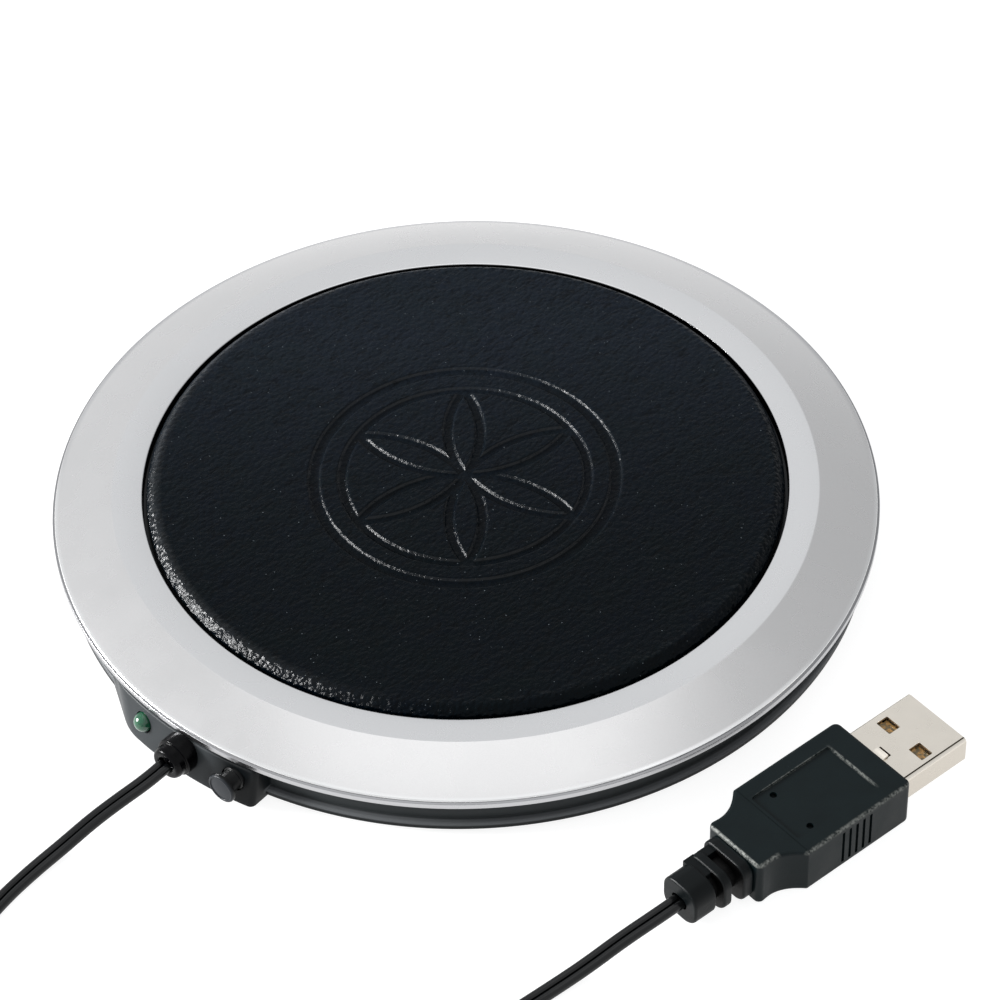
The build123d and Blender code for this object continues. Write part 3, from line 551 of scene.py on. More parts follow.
def overmold_plastic():
    """Black moulded PVC, pale along its near upper edges (painted highlight and wear) and along two
    edges of the sunk panel (painted highlight), and darker in the strain relief, with its slots painted
    black as painted shade."""
    paint = Paint("overmold_pvc", (8, 18, 20), specular_ior_level=0.14)
    paint.vary(4.0, 0.12, 0.36, 0.48)
    x, y, z, tip = on_plug(paint)
    # Pale lines along the near upper edges: painted highlight and wear. Pale lines along two edges of
    # the sunk panel: painted highlight.
    top = paint.ramp(z, PLUG_Z + 3.35, PLUG_Z + 3.85)
    side = paint.ramp(y, tip.y - 7.2, tip.y - 7.65)
    flank = paint.times(paint.ramp(x, tip.x - 35.4, tip.x - 36.4),
                        paint.ramp(y, tip.y - 4.75, tip.y - 5.1))
    neck = paint.near(x, tip.x - 39.25, 0.3)
    edge = paint.times(paint.most(side, flank, neck),
                       paint.ramp(x, tip.x - 39.5, tip.x - 39.4), top)
    panel_front = paint.times(paint.near(x, tip.x - 16.8, 0.26), paint.near(y, tip.y, 5.4))
    panel_side = paint.times(paint.near(y, tip.y + 4.9, 0.2), paint.near(x, tip.x - 24.0, 7.6), 0.45)
    panel = paint.times(paint.most(panel_front, panel_side), 0.7, top)
    edge_highlight = paint.span(paint.grain(0.4), 0.3, 0.62)
    paint.tint(paint.times(paint.most(edge, panel), edge_highlight), 126, 128, 124)
    paint.tint(paint.ramp(x, tip.x - 39.6, tip.x - 40.0, 0.0, 0.8), 3, 5, 6)
    # Painted shade: the slots are black.
    slots = [paint.times(paint.near(x, tip.x + middle, half + 0.08, half + 0.03),
                         paint.ramp(y, tip.y + end, tip.y + end - 0.05))
             for middle, half, end in ((-42.05, 0.85, 1.65), (-44.95, 0.55, -0.95))]
    paint.tint(paint.most(*slots), 0, 0, 0)
    paint.bump(paint.grain(0.2, roughness=0.6), 0.03, 0.6)
    return paint


def cord_pvc():
    paint = Paint("cord_pvc", (6, 7, 8), specular_ior_level=0.36)
    paint.vary(6.0, 0.15, 0.14, 0.22)
    paint.bump(paint.grain(0.5), 0.012, 0.5)
    return paint


def nickel():
    """Brushed nickel, darker on its near side with painted shade, with a dark stretch of seam there."""
    paint = Paint("shell_nickel", (236, 229, 218), metallic=1.0)
    paint.vary(3.0, 0.01, 0.26, 0.32)
    _, y, z, tip = on_plug(paint)
    # Painted shade on the near side.
    paint.tint(paint.ramp(y, tip.y - 5.9, tip.y - 5.98), 208, 201, 190)
    seam = paint.times(paint.near(y, tip.y - 5.41, 0.16), paint.near(z, PLUG_Z + 2.1, 0.4))
    paint.tint(seam, 92, 84, 70)
    lines = paint.grain(0.5, detail=4.0, roughness=0.7,
                        place=paint.stretched((1.0, 0.06, 1.0), 90 - PLUG_HEADING))
    paint.bump(lines, 0.003, 0.3)
    return paint


# ---- camera
def make_camera():
    elevation, roll = 44.852, -1.48
    data = bpy.data.cameras.new("camera")
    data.sensor_fit = "HORIZONTAL"
    data.sensor_width = 36.0
    data.lens = 151.2
    data.clip_start, data.clip_end = 0.01, 50.0
    camera = place_object("camera", data)
    aim = turn(FAR_SIDE - 90, "Z") @ turn(90 - elevation, "X") @ turn(roll, "Z")
    camera.matrix_world = at(297.648 * MM, -334.621 * MM, 452.125 * MM) @ aim
    scene.camera = camera


# ---- light and floor
def soft_box(name, place, width, height, power):
    """A rectangular light that points to the origin."""
    data = bpy.data.lights.new(name, "AREA")
    data.shape = "RECTANGLE"
    data.size, data.size_y = width, height
    data.energy = power
    lamp = place_object(name, data)
    aim = Vector(place).to_track_quat("Z", "Y")
    lamp.matrix_world = at(*place) @ aim.to_matrix().to_4x4()


def make_light():
    """Two soft boxes in a pale room that dims towards its top, seen as plain white."""
    world = bpy.data.worlds.new("studio")
    scene.world = world
    world.use_nodes = True
    tree = world.node_tree
    tree.nodes.clear()
    place = add_node(tree, "TexCoord", {}).outputs["Generated"]
    side = add_node(tree, "VectorMath", {0: place, 1: (0.142, 0.807, 0.574)},
                    operation="DOT_PRODUCT")
    level = add_node(tree, "MapRange", {
        "Value": side.outputs["Value"], "From Min": 0.76, "From Max": 0.951,
        "To Min": 0.84, "To Max": 0.58,
    })
    room = add_node(tree, "Background", {"Color": (0.97, 0.985, 1.0, 1), "Strength": level})
    seen = add_node(tree, "Background", {"Color": (1, 1, 1, 1), "Strength": 1.0})
    path = add_node(tree, "LightPath", {})
    mix = add_node(tree, "MixShader", {"Fac": path.outputs["Is Camera Ray"], 1: room, 2: seen})
    add_node(tree, "OutputWorld", {"Surface": mix})
    soft_box("overhead", (-0.08, 0.1, 0.85), 0.6, 0.5, 0.42)
    soft_box("left_front", (-0.656, -0.55, 0.278), 0.3, 0.24, 18.0)


def make_floor():
    """A white table that looks bright, with faint shadows, and casts less light than it shows."""
    half = 4000.0
    corners = [(x, y, 0) for x, y in rectangle(-half, half, -half, half)]
    floor = build("floor", (corners, [[0, 1, 2, 3]]))
    material = bpy.data.materials.new("floor_white")
    material.use_nodes = True
    tree = material.node_tree
    tree.nodes.clear()
    path = add_node(tree, "LightPath", {}).outputs
    direct = path["Is Camera Ray"]
    for kind in ("Is Glossy Ray", "Is Transmission Ray"):
        direct = add_node(tree, "Math", {0: direct, 1: path[kind]}, operation="MAXIMUM")
    bounce = add_node(tree, "BsdfDiffuse", {"Color": (0.8, 0.8, 0.8, 1)})
    shaded = add_node(tree, "BsdfDiffuse", {"Color": (0.3, 0.3, 0.3, 1)})
    glow = add_node(tree, "Emission", {"Strength": 0.86})
    both = add_node(tree, "AddShader", {0: shaded, 1: glow})
    mix = add_node(tree, "MixShader", {"Fac": direct, 1: bounce, 2: both})
    add_node(tree, "OutputMaterial", {"Surface": mix})
    floor.data.materials.append(material)


# ---- cord
COIL_CENTRE = (30.0, -130.5)
COIL_RADII = (16.7, 14.0, 11.3)
STRAP_HEADING = 80.0


def coil_lift(angle):
    """The coil rises over the strap that goes under it."""
    away = (angle - STRAP_HEADING + 180.0) % 360.0 - 180.0
    return 0.42 * 2.718 ** (-(away / 24.0) ** 2)


def coil_points():
    """Control points of the turns, counterclockwise from 210 to -15.7 degrees."""
    start, step, rest = 210.0, 22.5, 134.3
    radii = 2 * (COIL_RADII + COIL_RADII[::-1])
    last_turn = len(radii) - 1
    whole = last_turn * 360 + rest
    count = int(whole / step)
    points = []
    for i in range(count + 1):
        gone = whole * i / count
        cell = int((gone + 25) // 360)
        share = min(1.0, max(0.0, ((gone + 25) % 360) / 50)) if cell else 1.0
        share = share * share * (3 - 2 * share)
        before = max(0, cell - 1)
        cell = min(cell, last_turn)
        radius = radii[before] + (radii[cell] - radii[before]) * share
        layer = before // 3 + (cell // 3 - before // 3) * share
        angle = start + gone
        place = polar(radius / 0.981, angle, COIL_CENTRE)
        points.append((*place, 0.72 + 1.5 * layer + coil_lift(angle)))
    return points


def make_cord():
    lead = [
        (0.0, -66.3, 4.9), (0.0, -69.9, 4.85), (-1.05, -74.7, 4.1), (-2.2, -79.3, 2.9),
        (-3.2, -84.2, 1.3), (-3.7, -90.0, 0.72), (-3.4, -96.9, 0.7), (-1.9, -104.8, 0.7),
        (1.3, -113.3, 0.7), (5.7, -121.7, 0.7), (10.3, -130.4, 0.72),
    ]
    tail = [
        (48.5, -127.0, 4.8), (51.1, -118.2, 2.9), (53.9, -109.0, 1.0), (56.9, -98.4, 0.72),
        (60.2, -86.7, 0.7), (62.9, -75.8, 0.7), (64.9, -66.5, 0.7), (66.3, -59.8, 0.75),
        (67.8, -54.6, 1.6), (69.4, -48.7, 3.0), (71.06, -42.76, 3.9), (71.68, -39.21, 3.95),
    ]
    route = lead + coil_points() + tail
    data = bpy.data.curves.new("cord", "CURVE")
    data.dimensions = "3D"
    spline = data.splines.new("NURBS")
    spline.points.add(len(route) - 1)
    for point, (x, y, z) in zip(spline.points, route):
        point.co = (x * MM, y * MM, z * MM, 1)
    spline.order_u = 3
    spline.use_endpoint_u = True
    spline.resolution_u = 8
    data.twist_mode = "Z_UP"

    lobe, apart = 0.68, 0.61
    meet = acos(apart / lobe)
    angles = [(pi - meet) * (k / 7 - 1) for k in range(15)]
    outline = [(side * (apart + lobe * cos(a)), side * lobe * sin(a))
               for side in (1, -1) for a in angles]
    shape = bpy.data.curves.new("cord_section", "CURVE")
    shape.dimensions = "2D"
    ring = shape.splines.new("POLY")
    ring.points.add(len(outline) - 1)
    for point, (x, y) in zip(ring.points, outline):
        point.co = (x * MM, y * MM, 0, 1)
    ring.use_cyclic_u = True
    data.bevel_mode = "OBJECT"
    data.bevel_object = bpy.data.objects.new("cord_section", shape)
    data.use_fill_caps = True
    cord = place_object("cord", data)
    data.materials.append(cord_pvc().material)
    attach(cord, "housing")
    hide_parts("cord_lead", "cord_coil", "cord_tail")


# ---- silver ring
def make_ring():
    outline = rounded([
        (RING_R, LIP_BOTTOM, 0.12), (RING_R - 0.03, LIP_STEP - 0.08, 0.1),
        (STEP_R, LIP_STEP, 0.04), (STEP_R, LIP_TOP, 0.25), (CREST_R, CREST, 0.5),
        (OPENING_R, INNER_EDGE, 0.28), (OPENING_R, LEDGE_TOP, 0.1), (LEDGE_R, LEDGE_TOP, 0.2),
        (LEDGE_R, LEDGE_BOTTOM, 0.2), (LEDGE_OUTER_R, LEDGE_BOTTOM, 0.2),
        (LEDGE_OUTER_R, RING_ROOF, 0.3), (CREST_R, RING_ROOF, 0.3), (SKIRT_INNER_R, 8.79, 0.2),
        (SKIRT_INNER_R, POD_ROOM_TOP, 0.1), (SKIRT_R, POD_ROOM_TOP, 0.2), (SKIRT_R, SEAT, 0.1),
        (LIP_INNER_R, SEAT, 0.1), (LIP_INNER_R, LIP_BOTTOM, 0.1),
    ])
    ring = build("bezel_ring", lathe(outline, 384))
    bosses, holes = [], []
    for radius, bottom, hole, depth, angles in (
        (2.8, BOSS_FOOT, 1.12, 4.0, CASE_SCREWS),
        (2.3, LEDGE_BOTTOM, 0.97, 2.2, PLATE_SCREWS),
    ):
        for angle in angles:
            bosses.append(by_screw(rod(radius, bottom, 10.0), angle))
            holes.append(by_screw(rod(hole, bottom - 1, bottom + depth, 24), angle))
    carve(ring, joined(*bosses), "UNION")
    carve(ring, joined(*holes))
    fit(ring, ring_silver(), "ring_silver", "silver_ring")


# ---- leather pad
def stroke(distance, half_width):
    """How deep a pressed line is, from 0 to 1, at a distance from its middle."""
    soft = 0.42
    share = min(1.0, max(0.0, (half_width + soft - abs(distance)) / soft))
    return 0.75 * share + 0.25 * share * share * (3 - 2 * share)


def pressed(x, y):
    """A compass-drawn rosette of six petals inside two rings, pressed into the leather."""
    petals, outer = 18.4, 22.6
    reach = hypot(x, y)
    if reach > outer + 1.9:
        return 0.0
    depth = max(stroke(reach - outer, 0.6), stroke(reach - petals, 0.4))
    if reach < petals:
        for k in range(6):
            middle_x, middle_y = polar(petals, 60 * k + 11)
            away = hypot(x - middle_x, y - middle_y) - petals
            depth = max(depth, stroke(away, 0.45))
    return depth


def pad_height(x, y):
    """Small ups and downs of the leather's face in millimetres, at most 0."""
    folds = radians(80)
    along = x * cos(folds) + y * sin(folds)
    across = y * cos(folds) - x * sin(folds)
    sway = 2.2 * noise.noise(Vector((x * 0.07, y * 0.07, 3.1)))
    fold = noise.noise(Vector((along * 0.07, (across + sway) * 0.55, 0.7)))
    fold += 0.5 * noise.noise(Vector((along * 0.16, (across + sway) * 1.1, 9.2)))
    where = 0.5 + 0.5 * noise.noise(Vector((x * 0.06, y * 0.06, 20.0)))
    crease = max(0.0, 1 - abs(fold) * 9) * where
    swell = noise.noise(Vector((x * 0.12, y * 0.12, 5.0)))
    pebble = noise.noise(Vector((x * 1.5, y * 1.5, 8.0)))
    return -0.06 - 0.04 * crease + 0.03 * swell + 0.02 * pebble - 0.48 * pressed(x, y)


def crown_profile():
    """How far out and down the crown is from its start: a quick turn, a long slant and a turn."""
    bends = ((0.0, 0.0), (0.35, 42.0), (0.80, 54.0), (1.0, 90.0))
    count = 20
    places = [(0.0, 0.0)]
    for k in range(count):
        share = (k + 0.5) / count
        for (low, first), (high, last) in zip(bends, bends[1:]):
            if low <= share <= high:
                bend = radians(first + (last - first) * (share - low) / (high - low))
        places.append((places[-1][0] + cos(bend), places[-1][1] + sin(bend)))
    width, drop = places[-1]
    return [(out / width * CROWN_WIDTH, down / drop * CROWN_DROP) for out, down in places]


def make_pad():
    """The leather: a face of close rings, the crown, and a hollow underside over the plate."""
    segments = 640
    crown_r = PAD_R - CROWN_WIDTH
    loops = [[(0, 0, PAD_TOP + pad_height(0, 0))]]
    for radius in [0.18 * k for k in range(1, 137)] + [24.6 + 0.4 * k for k in range(1, 60)]:
        if radius < crown_r - 0.1:
            loops.append([(x, y, PAD_TOP + pad_height(x, y))
                          for x, y, _ in circle(radius, 0, segments)])
    for k, (out, down) in enumerate(crown_profile()):
        share = out / CROWN_WIDTH
        loop = []
        for x, y, z in circle(crown_r + out, PAD_TOP - down, segments):
            ripple = 0.05 * noise.noise(Vector((x * 1.1, y * 1.1, 2.0 + 0.6 * k))) - 0.03
            swell = 1 + ripple * share / (crown_r + out)
            loop.append((x * swell, y * swell, z + pad_height(x, y) * (1 - share)))
        loops.append(loop)
    for radius, height in ((PAD_R - 0.02, 10.3), (PAD_R - 0.05, 9.72), (PAD_R - 0.2, LEDGE_TOP),
                           (PLATE_R + 0.05, LEDGE_TOP), (PLATE_R + 0.05, PLATE_TOP),
                           (30.0, PLATE_TOP), (12.0, PLATE_TOP)):
        loops.append(circle(radius, height, segments))
    loops.append([(0, 0, PLATE_TOP)])
    pad = build("leather_pad", skin(loops), sharp=60)
    fit(pad, leather(), "cover_leather", "leather_cover")


# ---- base
def front_arc(radius, left, right):
    """Points along the front of a circle about the disc's axis, from one X to another."""
    count = 28
    first, last = asin(left / radius), asin(right / radius)
    angles = [first + (last - first) * k / count for k in range(count + 1)]
    return [(radius * sin(a), -radius * cos(a)) for a in angles]


def pod_outline(radius):
    """The pod from above, counterclockwise, where its leaning front has this radius."""
    left_round, right_round = 9.0, 1.7
    corner = Vector((-POD_FACE_LEFT, -sqrt(POD_R**2 - POD_FACE_LEFT**2)))
    flank = Vector((-POD_FLANK_END, -sqrt(BASE_FOOT_R**2 - POD_FLANK_END**2))) - corner
    along = flank.normalized()
    lean = corner.dot(along)
    left = corner + along * (-lean - sqrt(lean**2 - corner.length_squared + radius**2))
    end = corner + flank * 1.6
    front = front_arc(radius, left.x + 4.2, POD_RIGHT - right_round)
    right = (POD_RIGHT, -sqrt(radius**2 - POD_RIGHT**2), right_round)
    return rounded([(end.x, end.y, 0), (left.x, left.y, left_round)]
                   + [(x, y, 0) for x, y in front]
                   + [right, (POD_RIGHT, POD_BACK, 0), (end.x, POD_BACK, 0)], steps=8)


def pod_form(margin=0.0):
    """The pod as a solid: its front leans back, and its left flank runs into the base."""
    foot_round, top_round = 0.4, 0.3
    levels = [(FLOOR_LOW + rise, d) for rise, d in quarter(foot_round, 5)]
    levels += [(FLOOR_LOW + foot_round + k, 0.0) for k in (1.5, 3.0, 4.5)]
    levels += [(POD_TOP - fall, d) for fall, d in quarter(top_round, 4)[::-1]]
    loops = []
    for height, drawn_in in levels:
        share = (height - FLOOR_LOW) / (POD_TOP - FLOOR_LOW)
        outline = inset(pod_outline(POD_R + (POD_TOP_R - POD_R) * share), drawn_in - margin)
        loops.append([(x, y, height) for x, y in outline])
    return stacked(loops)


def make_base():
    groove_top = FLOOR_LOW + 0.55
    outline = rounded([
        (0, FLOOR_LOW, 0), (39.95, FLOOR_LOW, 0.1), (39.95, groove_top, 0.05),
        (46.05, groove_top, 0.05), (46.05, FLOOR_LOW, 0.1),
        (BASE_FOOT_R - 0.5, FLOOR_LOW, 0.3), (BASE_FOOT_R, FLOOR_LOW + 0.5, 0.3),
        (BASE_FOOT_R, STEP_TOP, 0.45), (BASE_R, STEP_TOP, 0.08), (BASE_R, SEAT, 0.15),
        (BASE_INNER_R, SEAT, 0.1), (BASE_INNER_R, FLOOR_TOP, 0.3), (0, FLOOR_TOP, 0),
    ])
    base = build("base_tray", lathe(outline, 320))
    pod = build("pod", pod_form())
    carve(pod, rod(BASE_R - 0.9, 0, 9, 320))
    carve(base, pod, "UNION")
    room = front_arc(POD_INNER_R, -POD_ROOM_HALF, POD_ROOM_HALF)
    room += [(POD_ROOM_HALF, POD_BACK), (-POD_ROOM_HALF, POD_BACK)]
    carve(base, slab(room, FLOOR_TOP, POD_ROOM_TOP))
    bosses = [by_screw(rod(3.2, 2.0, BOSS_FOOT), angle) for angle in CASE_SCREWS]
    carve(base, joined(*bosses), "UNION")
    pocket = lathe([(0, 0), (2.35, 0), (2.2, 1.15), (2.2, 2.6), (1.25, 2.6), (1.25, 5), (0, 5)], 32)
    cuts = [by_screw(pocket, angle) for angle in CASE_SCREWS]
    for x, radius in ((LAMP_X, 1.65), (BUTTON_X, 1.93), (0, 1.75)):
        cuts.append(along_y(rod(radius, 0, 9, 48), x, HOLE_FRONT))
    carve(base, joined(*cuts))
    ribs = [box(x - 0.5, x + 0.5, -55.3, -44.6, 2.2, 2.6) for x in (LAMP_X, BUTTON_X)]
    carve(base, joined(*ribs), "UNION")
    fit(base, base_plastic(), "base_black", "base_shell")


def make_foot():
    corners = [(40.0, 1.5, 0.05), (40.0, 0.0, 0.3)]
    for k in range(5):
        middle = 41.0 + k
        corners += [(middle - 0.15, 0.0, 0.08), (middle, 0.25, 0.08), (middle + 0.15, 0.0, 0.08)]
    corners += [(46.0, 0.0, 0.3), (46.0, 1.5, 0.05)]
    ring = build("foot_ring", lathe(rounded(corners, 3), 192))
    fit(ring, plain("foot_rubber", (38, 38, 39), 0.8, grain=0.3, depth=0.03), "foot_rubber",
        "anti_slip_ring")


# ---- lamp, button, grommet
def make_lamp():
    """A dome on a barrel, with a flange inside the wall."""
    radius, rise, steps = 1.5, 1.45, 12
    bends = [pi / 2 * k / steps for k in range(steps + 1)]
    outline = [(radius * sin(a), rise * (1 - cos(a))) for a in bends]
    outline += rounded([(radius, 3.6, 0.1), (radius, 4.4, 0.05), (1.85, 4.4, 0.15),
                        (1.85, 5.4, 0.15), (0.0, 5.4, 0)], 3)[2:]
    lamp = build("pilot_lamp", along_y(lathe(outline, 64), LAMP_X, -63.58))
    paint = Paint("lamp_green", (14, 70, 46), specular_ior_level=0.5, subsurface_weight=0.1,
                  subsurface_scale=0.001, coat_weight=0.5, coat_roughness=0.05)
    paint.vary(1.5, 0.25, 0.14, 0.24)
    paint.bump(paint.grain(0.6, detail=2.0), 0.02, 0.3)
    fit(lamp, paint, "lamp_green", "led_lamp")


def make_button():
    """A domed key on a stem, with a collar inside the wall and a bore for the plunger."""
    outline = [(0, 0.12), (0.8, 0.1)]
    outline += rounded([(1.95, 0.0, 0.3), (2.35, 0.22, 0.25), (2.35, 0.85, 0.12), (1.6, 0.85, 0.1),
                        (1.6, 2.75, 0.1), (1.85, 2.75, 0.15), (1.85, 4.65, 0.15), (1.5, 4.65, 0.05),
                        (1.5, 8.55, 0.15), (0.77, 8.55, 0.05), (0.77, 5.03, 0.02)], 4)
    outline += [(0, 5.03)]
    button = build("power_key", along_y(lathe(outline, 72), BUTTON_X, -64.80))
    paint = Paint("button_plastic", (28, 31, 35), specular_ior_level=0.2)
    paint.vary(2.0, 0.1, 0.32, 0.42)
    # Behind the cap's face the key is near black: a darker stem, with painted shade in the gap behind
    # the cap.
    paint.tint(paint.ramp(paint.axis(paint.place, 1), -64.5, -64.3), 4, 5, 6)
    paint.bump(paint.grain(0.25), 0.02, 0.5)
    fit(button, paint, "button_grey", "power_button", body="button")


def make_grommet():
    """A gland with a flange on the pod's face, its neck, and a block behind the wall."""
    flange, flange_back = -64.55 - GROMMET_FACE, -62.2 - GROMMET_FACE
    outline = rounded([
        (1.32, 1.1, 0.2), (1.32, 0.0, 0.25), (2.35, 0.0, 0.55), (2.6, 0.75, 0.1),
        (2.6, flange, 0.15), (3.0, flange, 0.35), (3.0, flange_back, 0.1),
        (0, flange_back, 0), (0, 1.1, 0),
    ])
    gland = build("cord_gland", along_y(lathe(outline, 72), 0, GROMMET_FACE))
    carve(gland, pod_form(0.04))
    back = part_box("cord_grommet")[1].y / MM
    half = 1.75
    block = rectangle(-2.8, 2.8, -60.75, back - 0.9, 0.3, 3)
    for piece in (along_y(rod(1.7, 0, 4.2, 48), 0, -64.2),
                  slab(block, AXIS_Z - half, AXIS_Z + half, 0.25, 0.25),
                  along_y(rod(1.5, 0, 1.6, 40), 0, back - 1.6)):
        carve(gland, piece, "UNION")
    paint = plain("grommet_rubber", (2, 2, 3), 0.2, size=2.0, grain=0.3, specular_ior_level=0.1)
    fit(gland, paint, "grommet_rubber", "cord_grommet")


def make_spring():
    """The switch's spring: a wire wound along Y in the CAD spring's place."""
    low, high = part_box("switch_spring")
    middle = (low + high) / 2
    wire, turns, steps = 0.12 * MM, 5, 24
    radius = (high.x - low.x) / 2 - wire
    data = bpy.data.curves.new("spring_wire", "CURVE")
    data.dimensions = "3D"
    line = data.splines.new("POLY")
    line.points.add(turns * steps)
    for k, point in enumerate(line.points):
        angle = 2 * pi * k / steps
        back = low.y + wire + (high.y - low.y - 2 * wire) * k / (turns * steps)
        point.co = (middle.x + radius * cos(angle), back, middle.z + radius * sin(angle), 1)
    data.bevel_depth = wire
    data.bevel_resolution = 3
    data.use_fill_caps = True
    wound = bpy.data.objects.new("spring_wire", data)
    spring = place_object("return_spring", bpy.data.meshes.new_from_object(wound))
    bpy.data.objects.remove(wound)
    shade(spring, 50)
    spring.data.materials.append(
        plain("spring_steel", (190, 190, 192), 0.25, metallic=1.0).material)
    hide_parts("switch_spring")
    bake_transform(spring)


# ---- plug
def to_plug(thing):
    """Takes a piece from the plug's own frame, with its tip at the origin, to its place."""
    place = at(*PLUG_TIP, PLUG_Z) @ turn(PLUG_HEADING, "Z")
    place.translation *= MM
    thing.data.transform(place)


def bar(x, front, back, width, height, corner, steps=5, rounds=(0.0, 0.0)):
    """A rounded bar about the plug's axis, from one distance behind an X to another."""
    outline = rectangle(-width / 2, width / 2, -height / 2, height / 2, corner, steps)
    stand = Matrix(((0, 0, -1, x), (1, 0, 0, 0), (0, 1, 0, 0), (0, 0, 0, 1)))
    return moved(slab(outline, front, back, *rounds, 3), stand)


def neck_inset(behind):
    """How far the neck is drawn in, at a distance behind the shoulder. It's slimmest at 4.8."""
    if behind < 4.8:
        return 2.5 * (1 - (1 - behind / 4.8) ** 2)
    return 2.5 - 0.2 * ((behind - 4.8) / 2.2) ** 2


def make_overmold():
    """The grip with its sunk panel, grooves and pits, and the strain relief with two slots."""
    front, shoulder, neck_end, half, rise = -12.6, -32.4, -39.4, 7.75, 3.95
    left = [(shoulder, half, 0.4)]
    left += [(shoulder - 0.5 * k, half - neck_inset(0.5 * k), 0) for k in range(1, 11)]
    left.append((neck_end, half - neck_inset(shoulder - neck_end), 0.95))
    right = [(x, -y, r) for x, y, r in left]
    corners = [(front, -half, 1.0), (front, half, 1.0)] + left + right[::-1]
    body = build("plug_body", slab(rounded(corners, 9), -rise, rise, 0.5, 0.5, 3))

    panel = rectangle(-31.7, -16.8, -4.9, 4.9, 0.5, 4)
    carve(body, slab(panel, rise - 0.28, rise + 1, 0.06, 0, 2))
    grips = []
    for i in range(5):
        groove = -20.2 - 1.3 * i
        for low, high in ((-half - 1, 0.35 - half), (half - 0.35, half + 1)):
            grips.append(box(groove - 0.5, groove, low, high, -rise + 0.9, rise - 0.9))
    carve(body, joined(*grips))

    relief = [bar(neck_end, -0.6, 9.6, 4.6, 4.4, 1.6)]
    x = neck_end
    for length, width, height, corner, gap in (
        (1.8, 8.5, 7.0, 1.9, 1.7), (1.5, 7.6, 6.8, 2.1, 1.1), (3.9, 6.8, 6.6, 2.5, 0)
    ):
        relief.append(bar(x, 0, length, width, height, corner, 8, (0.3, 0.35)))
        x -= length + gap
    for slot, gap, low, bottom, top in ((neck_end - 1.8, 1.7, 1.7, -2.9, 2.9),
                                        (neck_end - 5.0, 1.1, -0.9, -2.8, 3.0)):
        relief.append(box(slot - gap - 0.4, slot + 0.4, low, 3.2, bottom, top))
    for piece in relief:
        carve(body, piece, "UNION")
    pit = lathe([(0, 0), (0.5, 0.1), (0.58, 1.5), (0, 1.5)], 24)
    pits = [moved(pit, at(-28.7, y, rise - 1.1)) for y in (-4.05, 3.45)]
    mouth = bar(neck_end, 8.8, 10.6, 3.0, 2.0, 0.9)
    pocket = bar(front, -0.5, 6.25, 12.1, 4.6, 0.5)
    carve(body, joined(*pits, mouth, pocket))
    to_plug(body)
    shade(body, 12)
    return fit(body, overmold_plastic(), "overmold_black", "usb_overmold")


def make_shell():
    """A tube with four windows, a tab raised from a notch, and a seam along its side."""
    shell = build("plug_shell", bar(0, 0, -SHELL_BACK, 12.0, 4.5, 0.62, 6, (0.12, 0.0)))
    carve(shell, bar(0, -1, 1 - SHELL_BACK, 11.3, 3.8, 0.3, 6))
    cuts = []
    for y in (-WINDOW_Y, WINDOW_Y):
        window = rectangle(-7.6, -5.5, y - 1.35, y + 1.35, 0.12, 3)
        cuts += [slab(window, low, high) for low, high in ((-3, -1), (1, 3))]
    cuts += [slab(rectangle(-11.0, -10.2, -1.1, 1.1, 0.1, 3), 1, 3),
             box(-19, 1, -0.06, 0.06, -3, -1.6), box(-19, -0.25, -5.5, -5.3, 2.0, 3)]
    carve(shell, joined(*cuts))
    soften(shell, 0.09, 50)
    tab = []
    half = 1.1
    for k in range(7):
        x = -12.3 + 1.5 * k / 6
        z = 2.12 + 0.5 * sin(pi / 2 * k / 6)
        tab.append([(x, -half, z - 0.2), (x, half, z - 0.2), (x, half, z + 0.06),
                    (x, half - 0.15, z + 0.12), (x, 0.15 - half, z + 0.12), (x, -half, z + 0.06)])
    carve(shell, stacked(tab), "UNION")
    to_plug(shell)
    shell.modifiers.new("normals", "WEIGHTED_NORMAL").keep_sharp = True
    return fit(shell, nickel(), "shell_nickel", "usb_shell")


def make_tongue():
    """The insulator, with a raised lug under each of the shell's upper windows."""
    low, half = -1.85, 5.45
    outline = rounded([(SHELL_BACK, -half, 0), (-0.6, -half, 0.3), (-0.6, half, 0.3),
                       (SHELL_BACK, half, 0)], 3)
    tongue = build("plug_tongue", slab(outline, low, low + 1.9, 0.1, 0.1, 2))
    carve(tongue, box(SHELL_BACK, -12.6, -5.44, 5.44, low + 0.5, 1.85), "UNION")
    for y in (-WINDOW_Y, WINDOW_Y):
        for front, top in ((-6.5, 1.75), (-5.6, 1.5)):
            carve(tongue, box(front - 1, front, y - 1.3, y + 1.3, -0.2, top), "UNION")
    to_plug(tongue)
    paint = Paint("tongue_olive", (92, 78, 50), roughness=0.4)
    share = paint.span(paint.grain(0.8, detail=2.0), 0.42, 0.58)
    paint.cover(paint.blend(share, tone(96, 84, 58), tone(164, 124, 68)))
    paint.bump(paint.grain(0.2), 0.02, 0.5)
    return fit(tongue, paint, "tongue_olive", "usb_tongue")


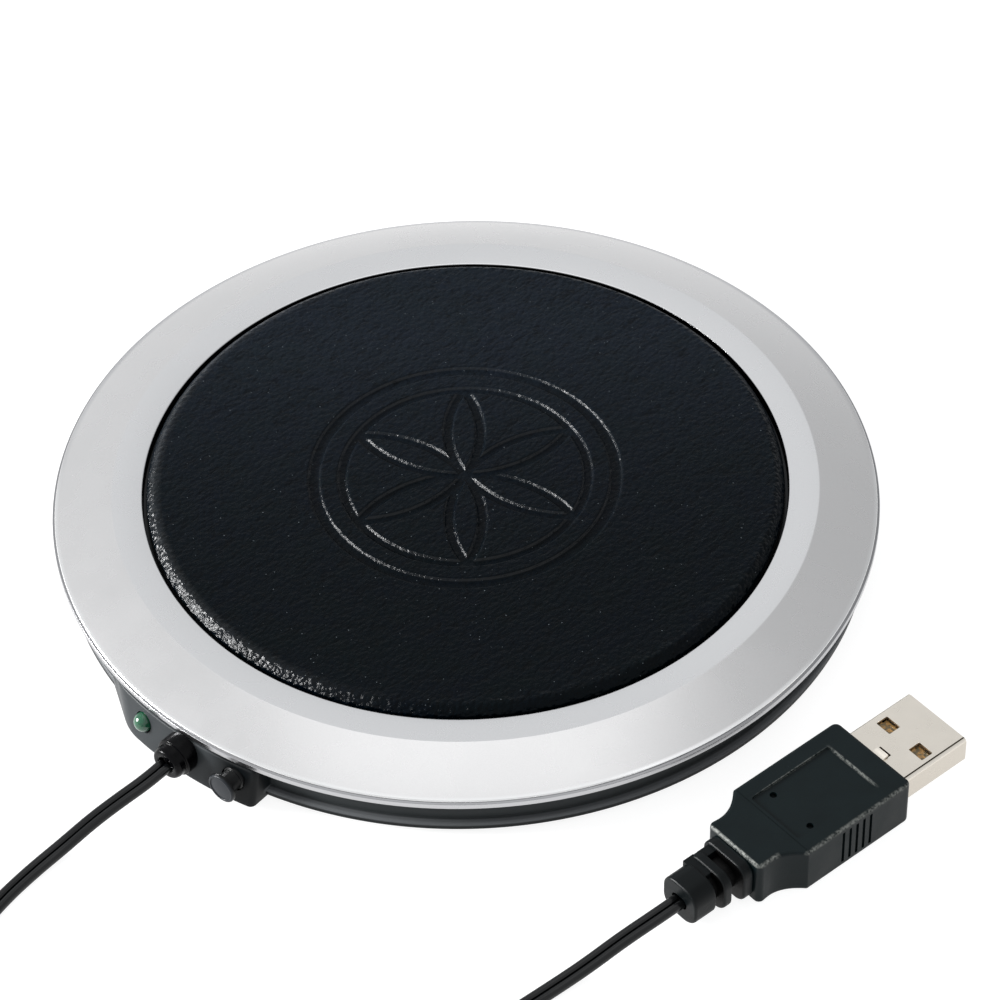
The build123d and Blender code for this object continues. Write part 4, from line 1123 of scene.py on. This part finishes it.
# ---- coil tie
def make_tie():
    """A woven strap once round the coil."""
    low, high, half, spread, steps = 0.02, 6.75, 4.6, 22, 14
    inner, outer = COIL_RADII[1] - half, COIL_RADII[1] + half
    strap = rounded([(inner, low, 0.5), (outer, low, 0.5), (outer, high, 1.2),
                     (inner, high, 1.2)], 6)
    angles = [STRAP_HEADING - spread / 2 + spread * k / steps for k in range(steps + 1)]
    loops = [[(*polar(radius, angle, COIL_CENTRE), height) for radius, height in outline]
             for outline, way in ((strap, 1), (inset(strap, 0.36), -1)) for angle in angles[::way]]
    tie = build("coil_strap", skin(loops, closed=True))
    paint = Paint("tie_weave", (30, 30, 32), sheen_weight=0.2, sheen_roughness=0.5)
    weave = paint.add("TexWave", "Fac", {
        "Vector": paint.place, "Scale": 420, "Distortion": 1.5,
    }, wave_type="BANDS", bands_direction="DIAGONAL")
    paint.vary(2.0, 0.2, 0.8, 0.95)
    paint.bump(weave, 0.08, 0.7)
    return fit(tie, paint, "tie_black", "coil_tie")


# ---- CAD nodes that stay
def dress_nodes():
    metal = {"metallic": 1.0}
    looks = {
        "heater_plate": plain("plate_aluminium", (196, 198, 200), 0.35, grain=0.4, depth=0.01, **metal),
        "heater_film": plain("film_amber", (176, 108, 32), 0.3, share=0.2),
        "heater_track": plain("track_foil", (190, 186, 180), 0.3, **metal),
        "insulation_felt": plain("felt_grey", (150, 148, 142), 0.95, grain=0.5, depth=0.15, share=0.25),
        "backing_plate": plain("plate_steel", (168, 170, 172), 0.32, **metal),
        "plate_screws": plain("screw_zinc_small", (190, 192, 196), 0.28, **metal),
        "case_screws": plain("screw_zinc", (190, 192, 196), 0.28, **metal),
        "circuit_board": plain("board_green", (22, 74, 46), 0.4, grain=0.5, share=0.2),
        "led_leads": plain("lead_tin", (200, 200, 198), 0.3, **metal),
        "switch_pins": plain("pin_tin", (200, 200, 198), 0.3, **metal),
        "led_resistor": plain("resistor_body", (196, 172, 128), 0.5, share=0.2),
        "switch_body": plain("switch_black", (34, 34, 36), 0.45),
        "switch_plunger": plain("plunger_red", (150, 32, 28), 0.4),
        "supply_wires": plain("wire_red", (168, 34, 28), 0.45),
        "heater_wires": plain("wire_white", (224, 222, 214), 0.5),
        "usb_contacts": plain("contact_gold", (214, 166, 84), 0.28, size=1.5, **metal),
    }
    for name, paint in looks.items():
        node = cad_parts[name]
        if not node.material_slots:
            node.data.materials.append(paint.material)
        for place in node.material_slots:
            place.material = paint.material


scene.view_settings.view_transform = "Standard"
make_camera()
make_light()
make_floor()
make_ring()
make_pad()
make_base()
make_foot()
make_lamp()
make_button()
make_grommet()
make_spring()
plug_body = make_overmold()
plug_shell = make_shell()
plug_tongue = make_tongue()
strap = make_tie()
dress_nodes()
make_cord()

bpy.context.view_layer.update()
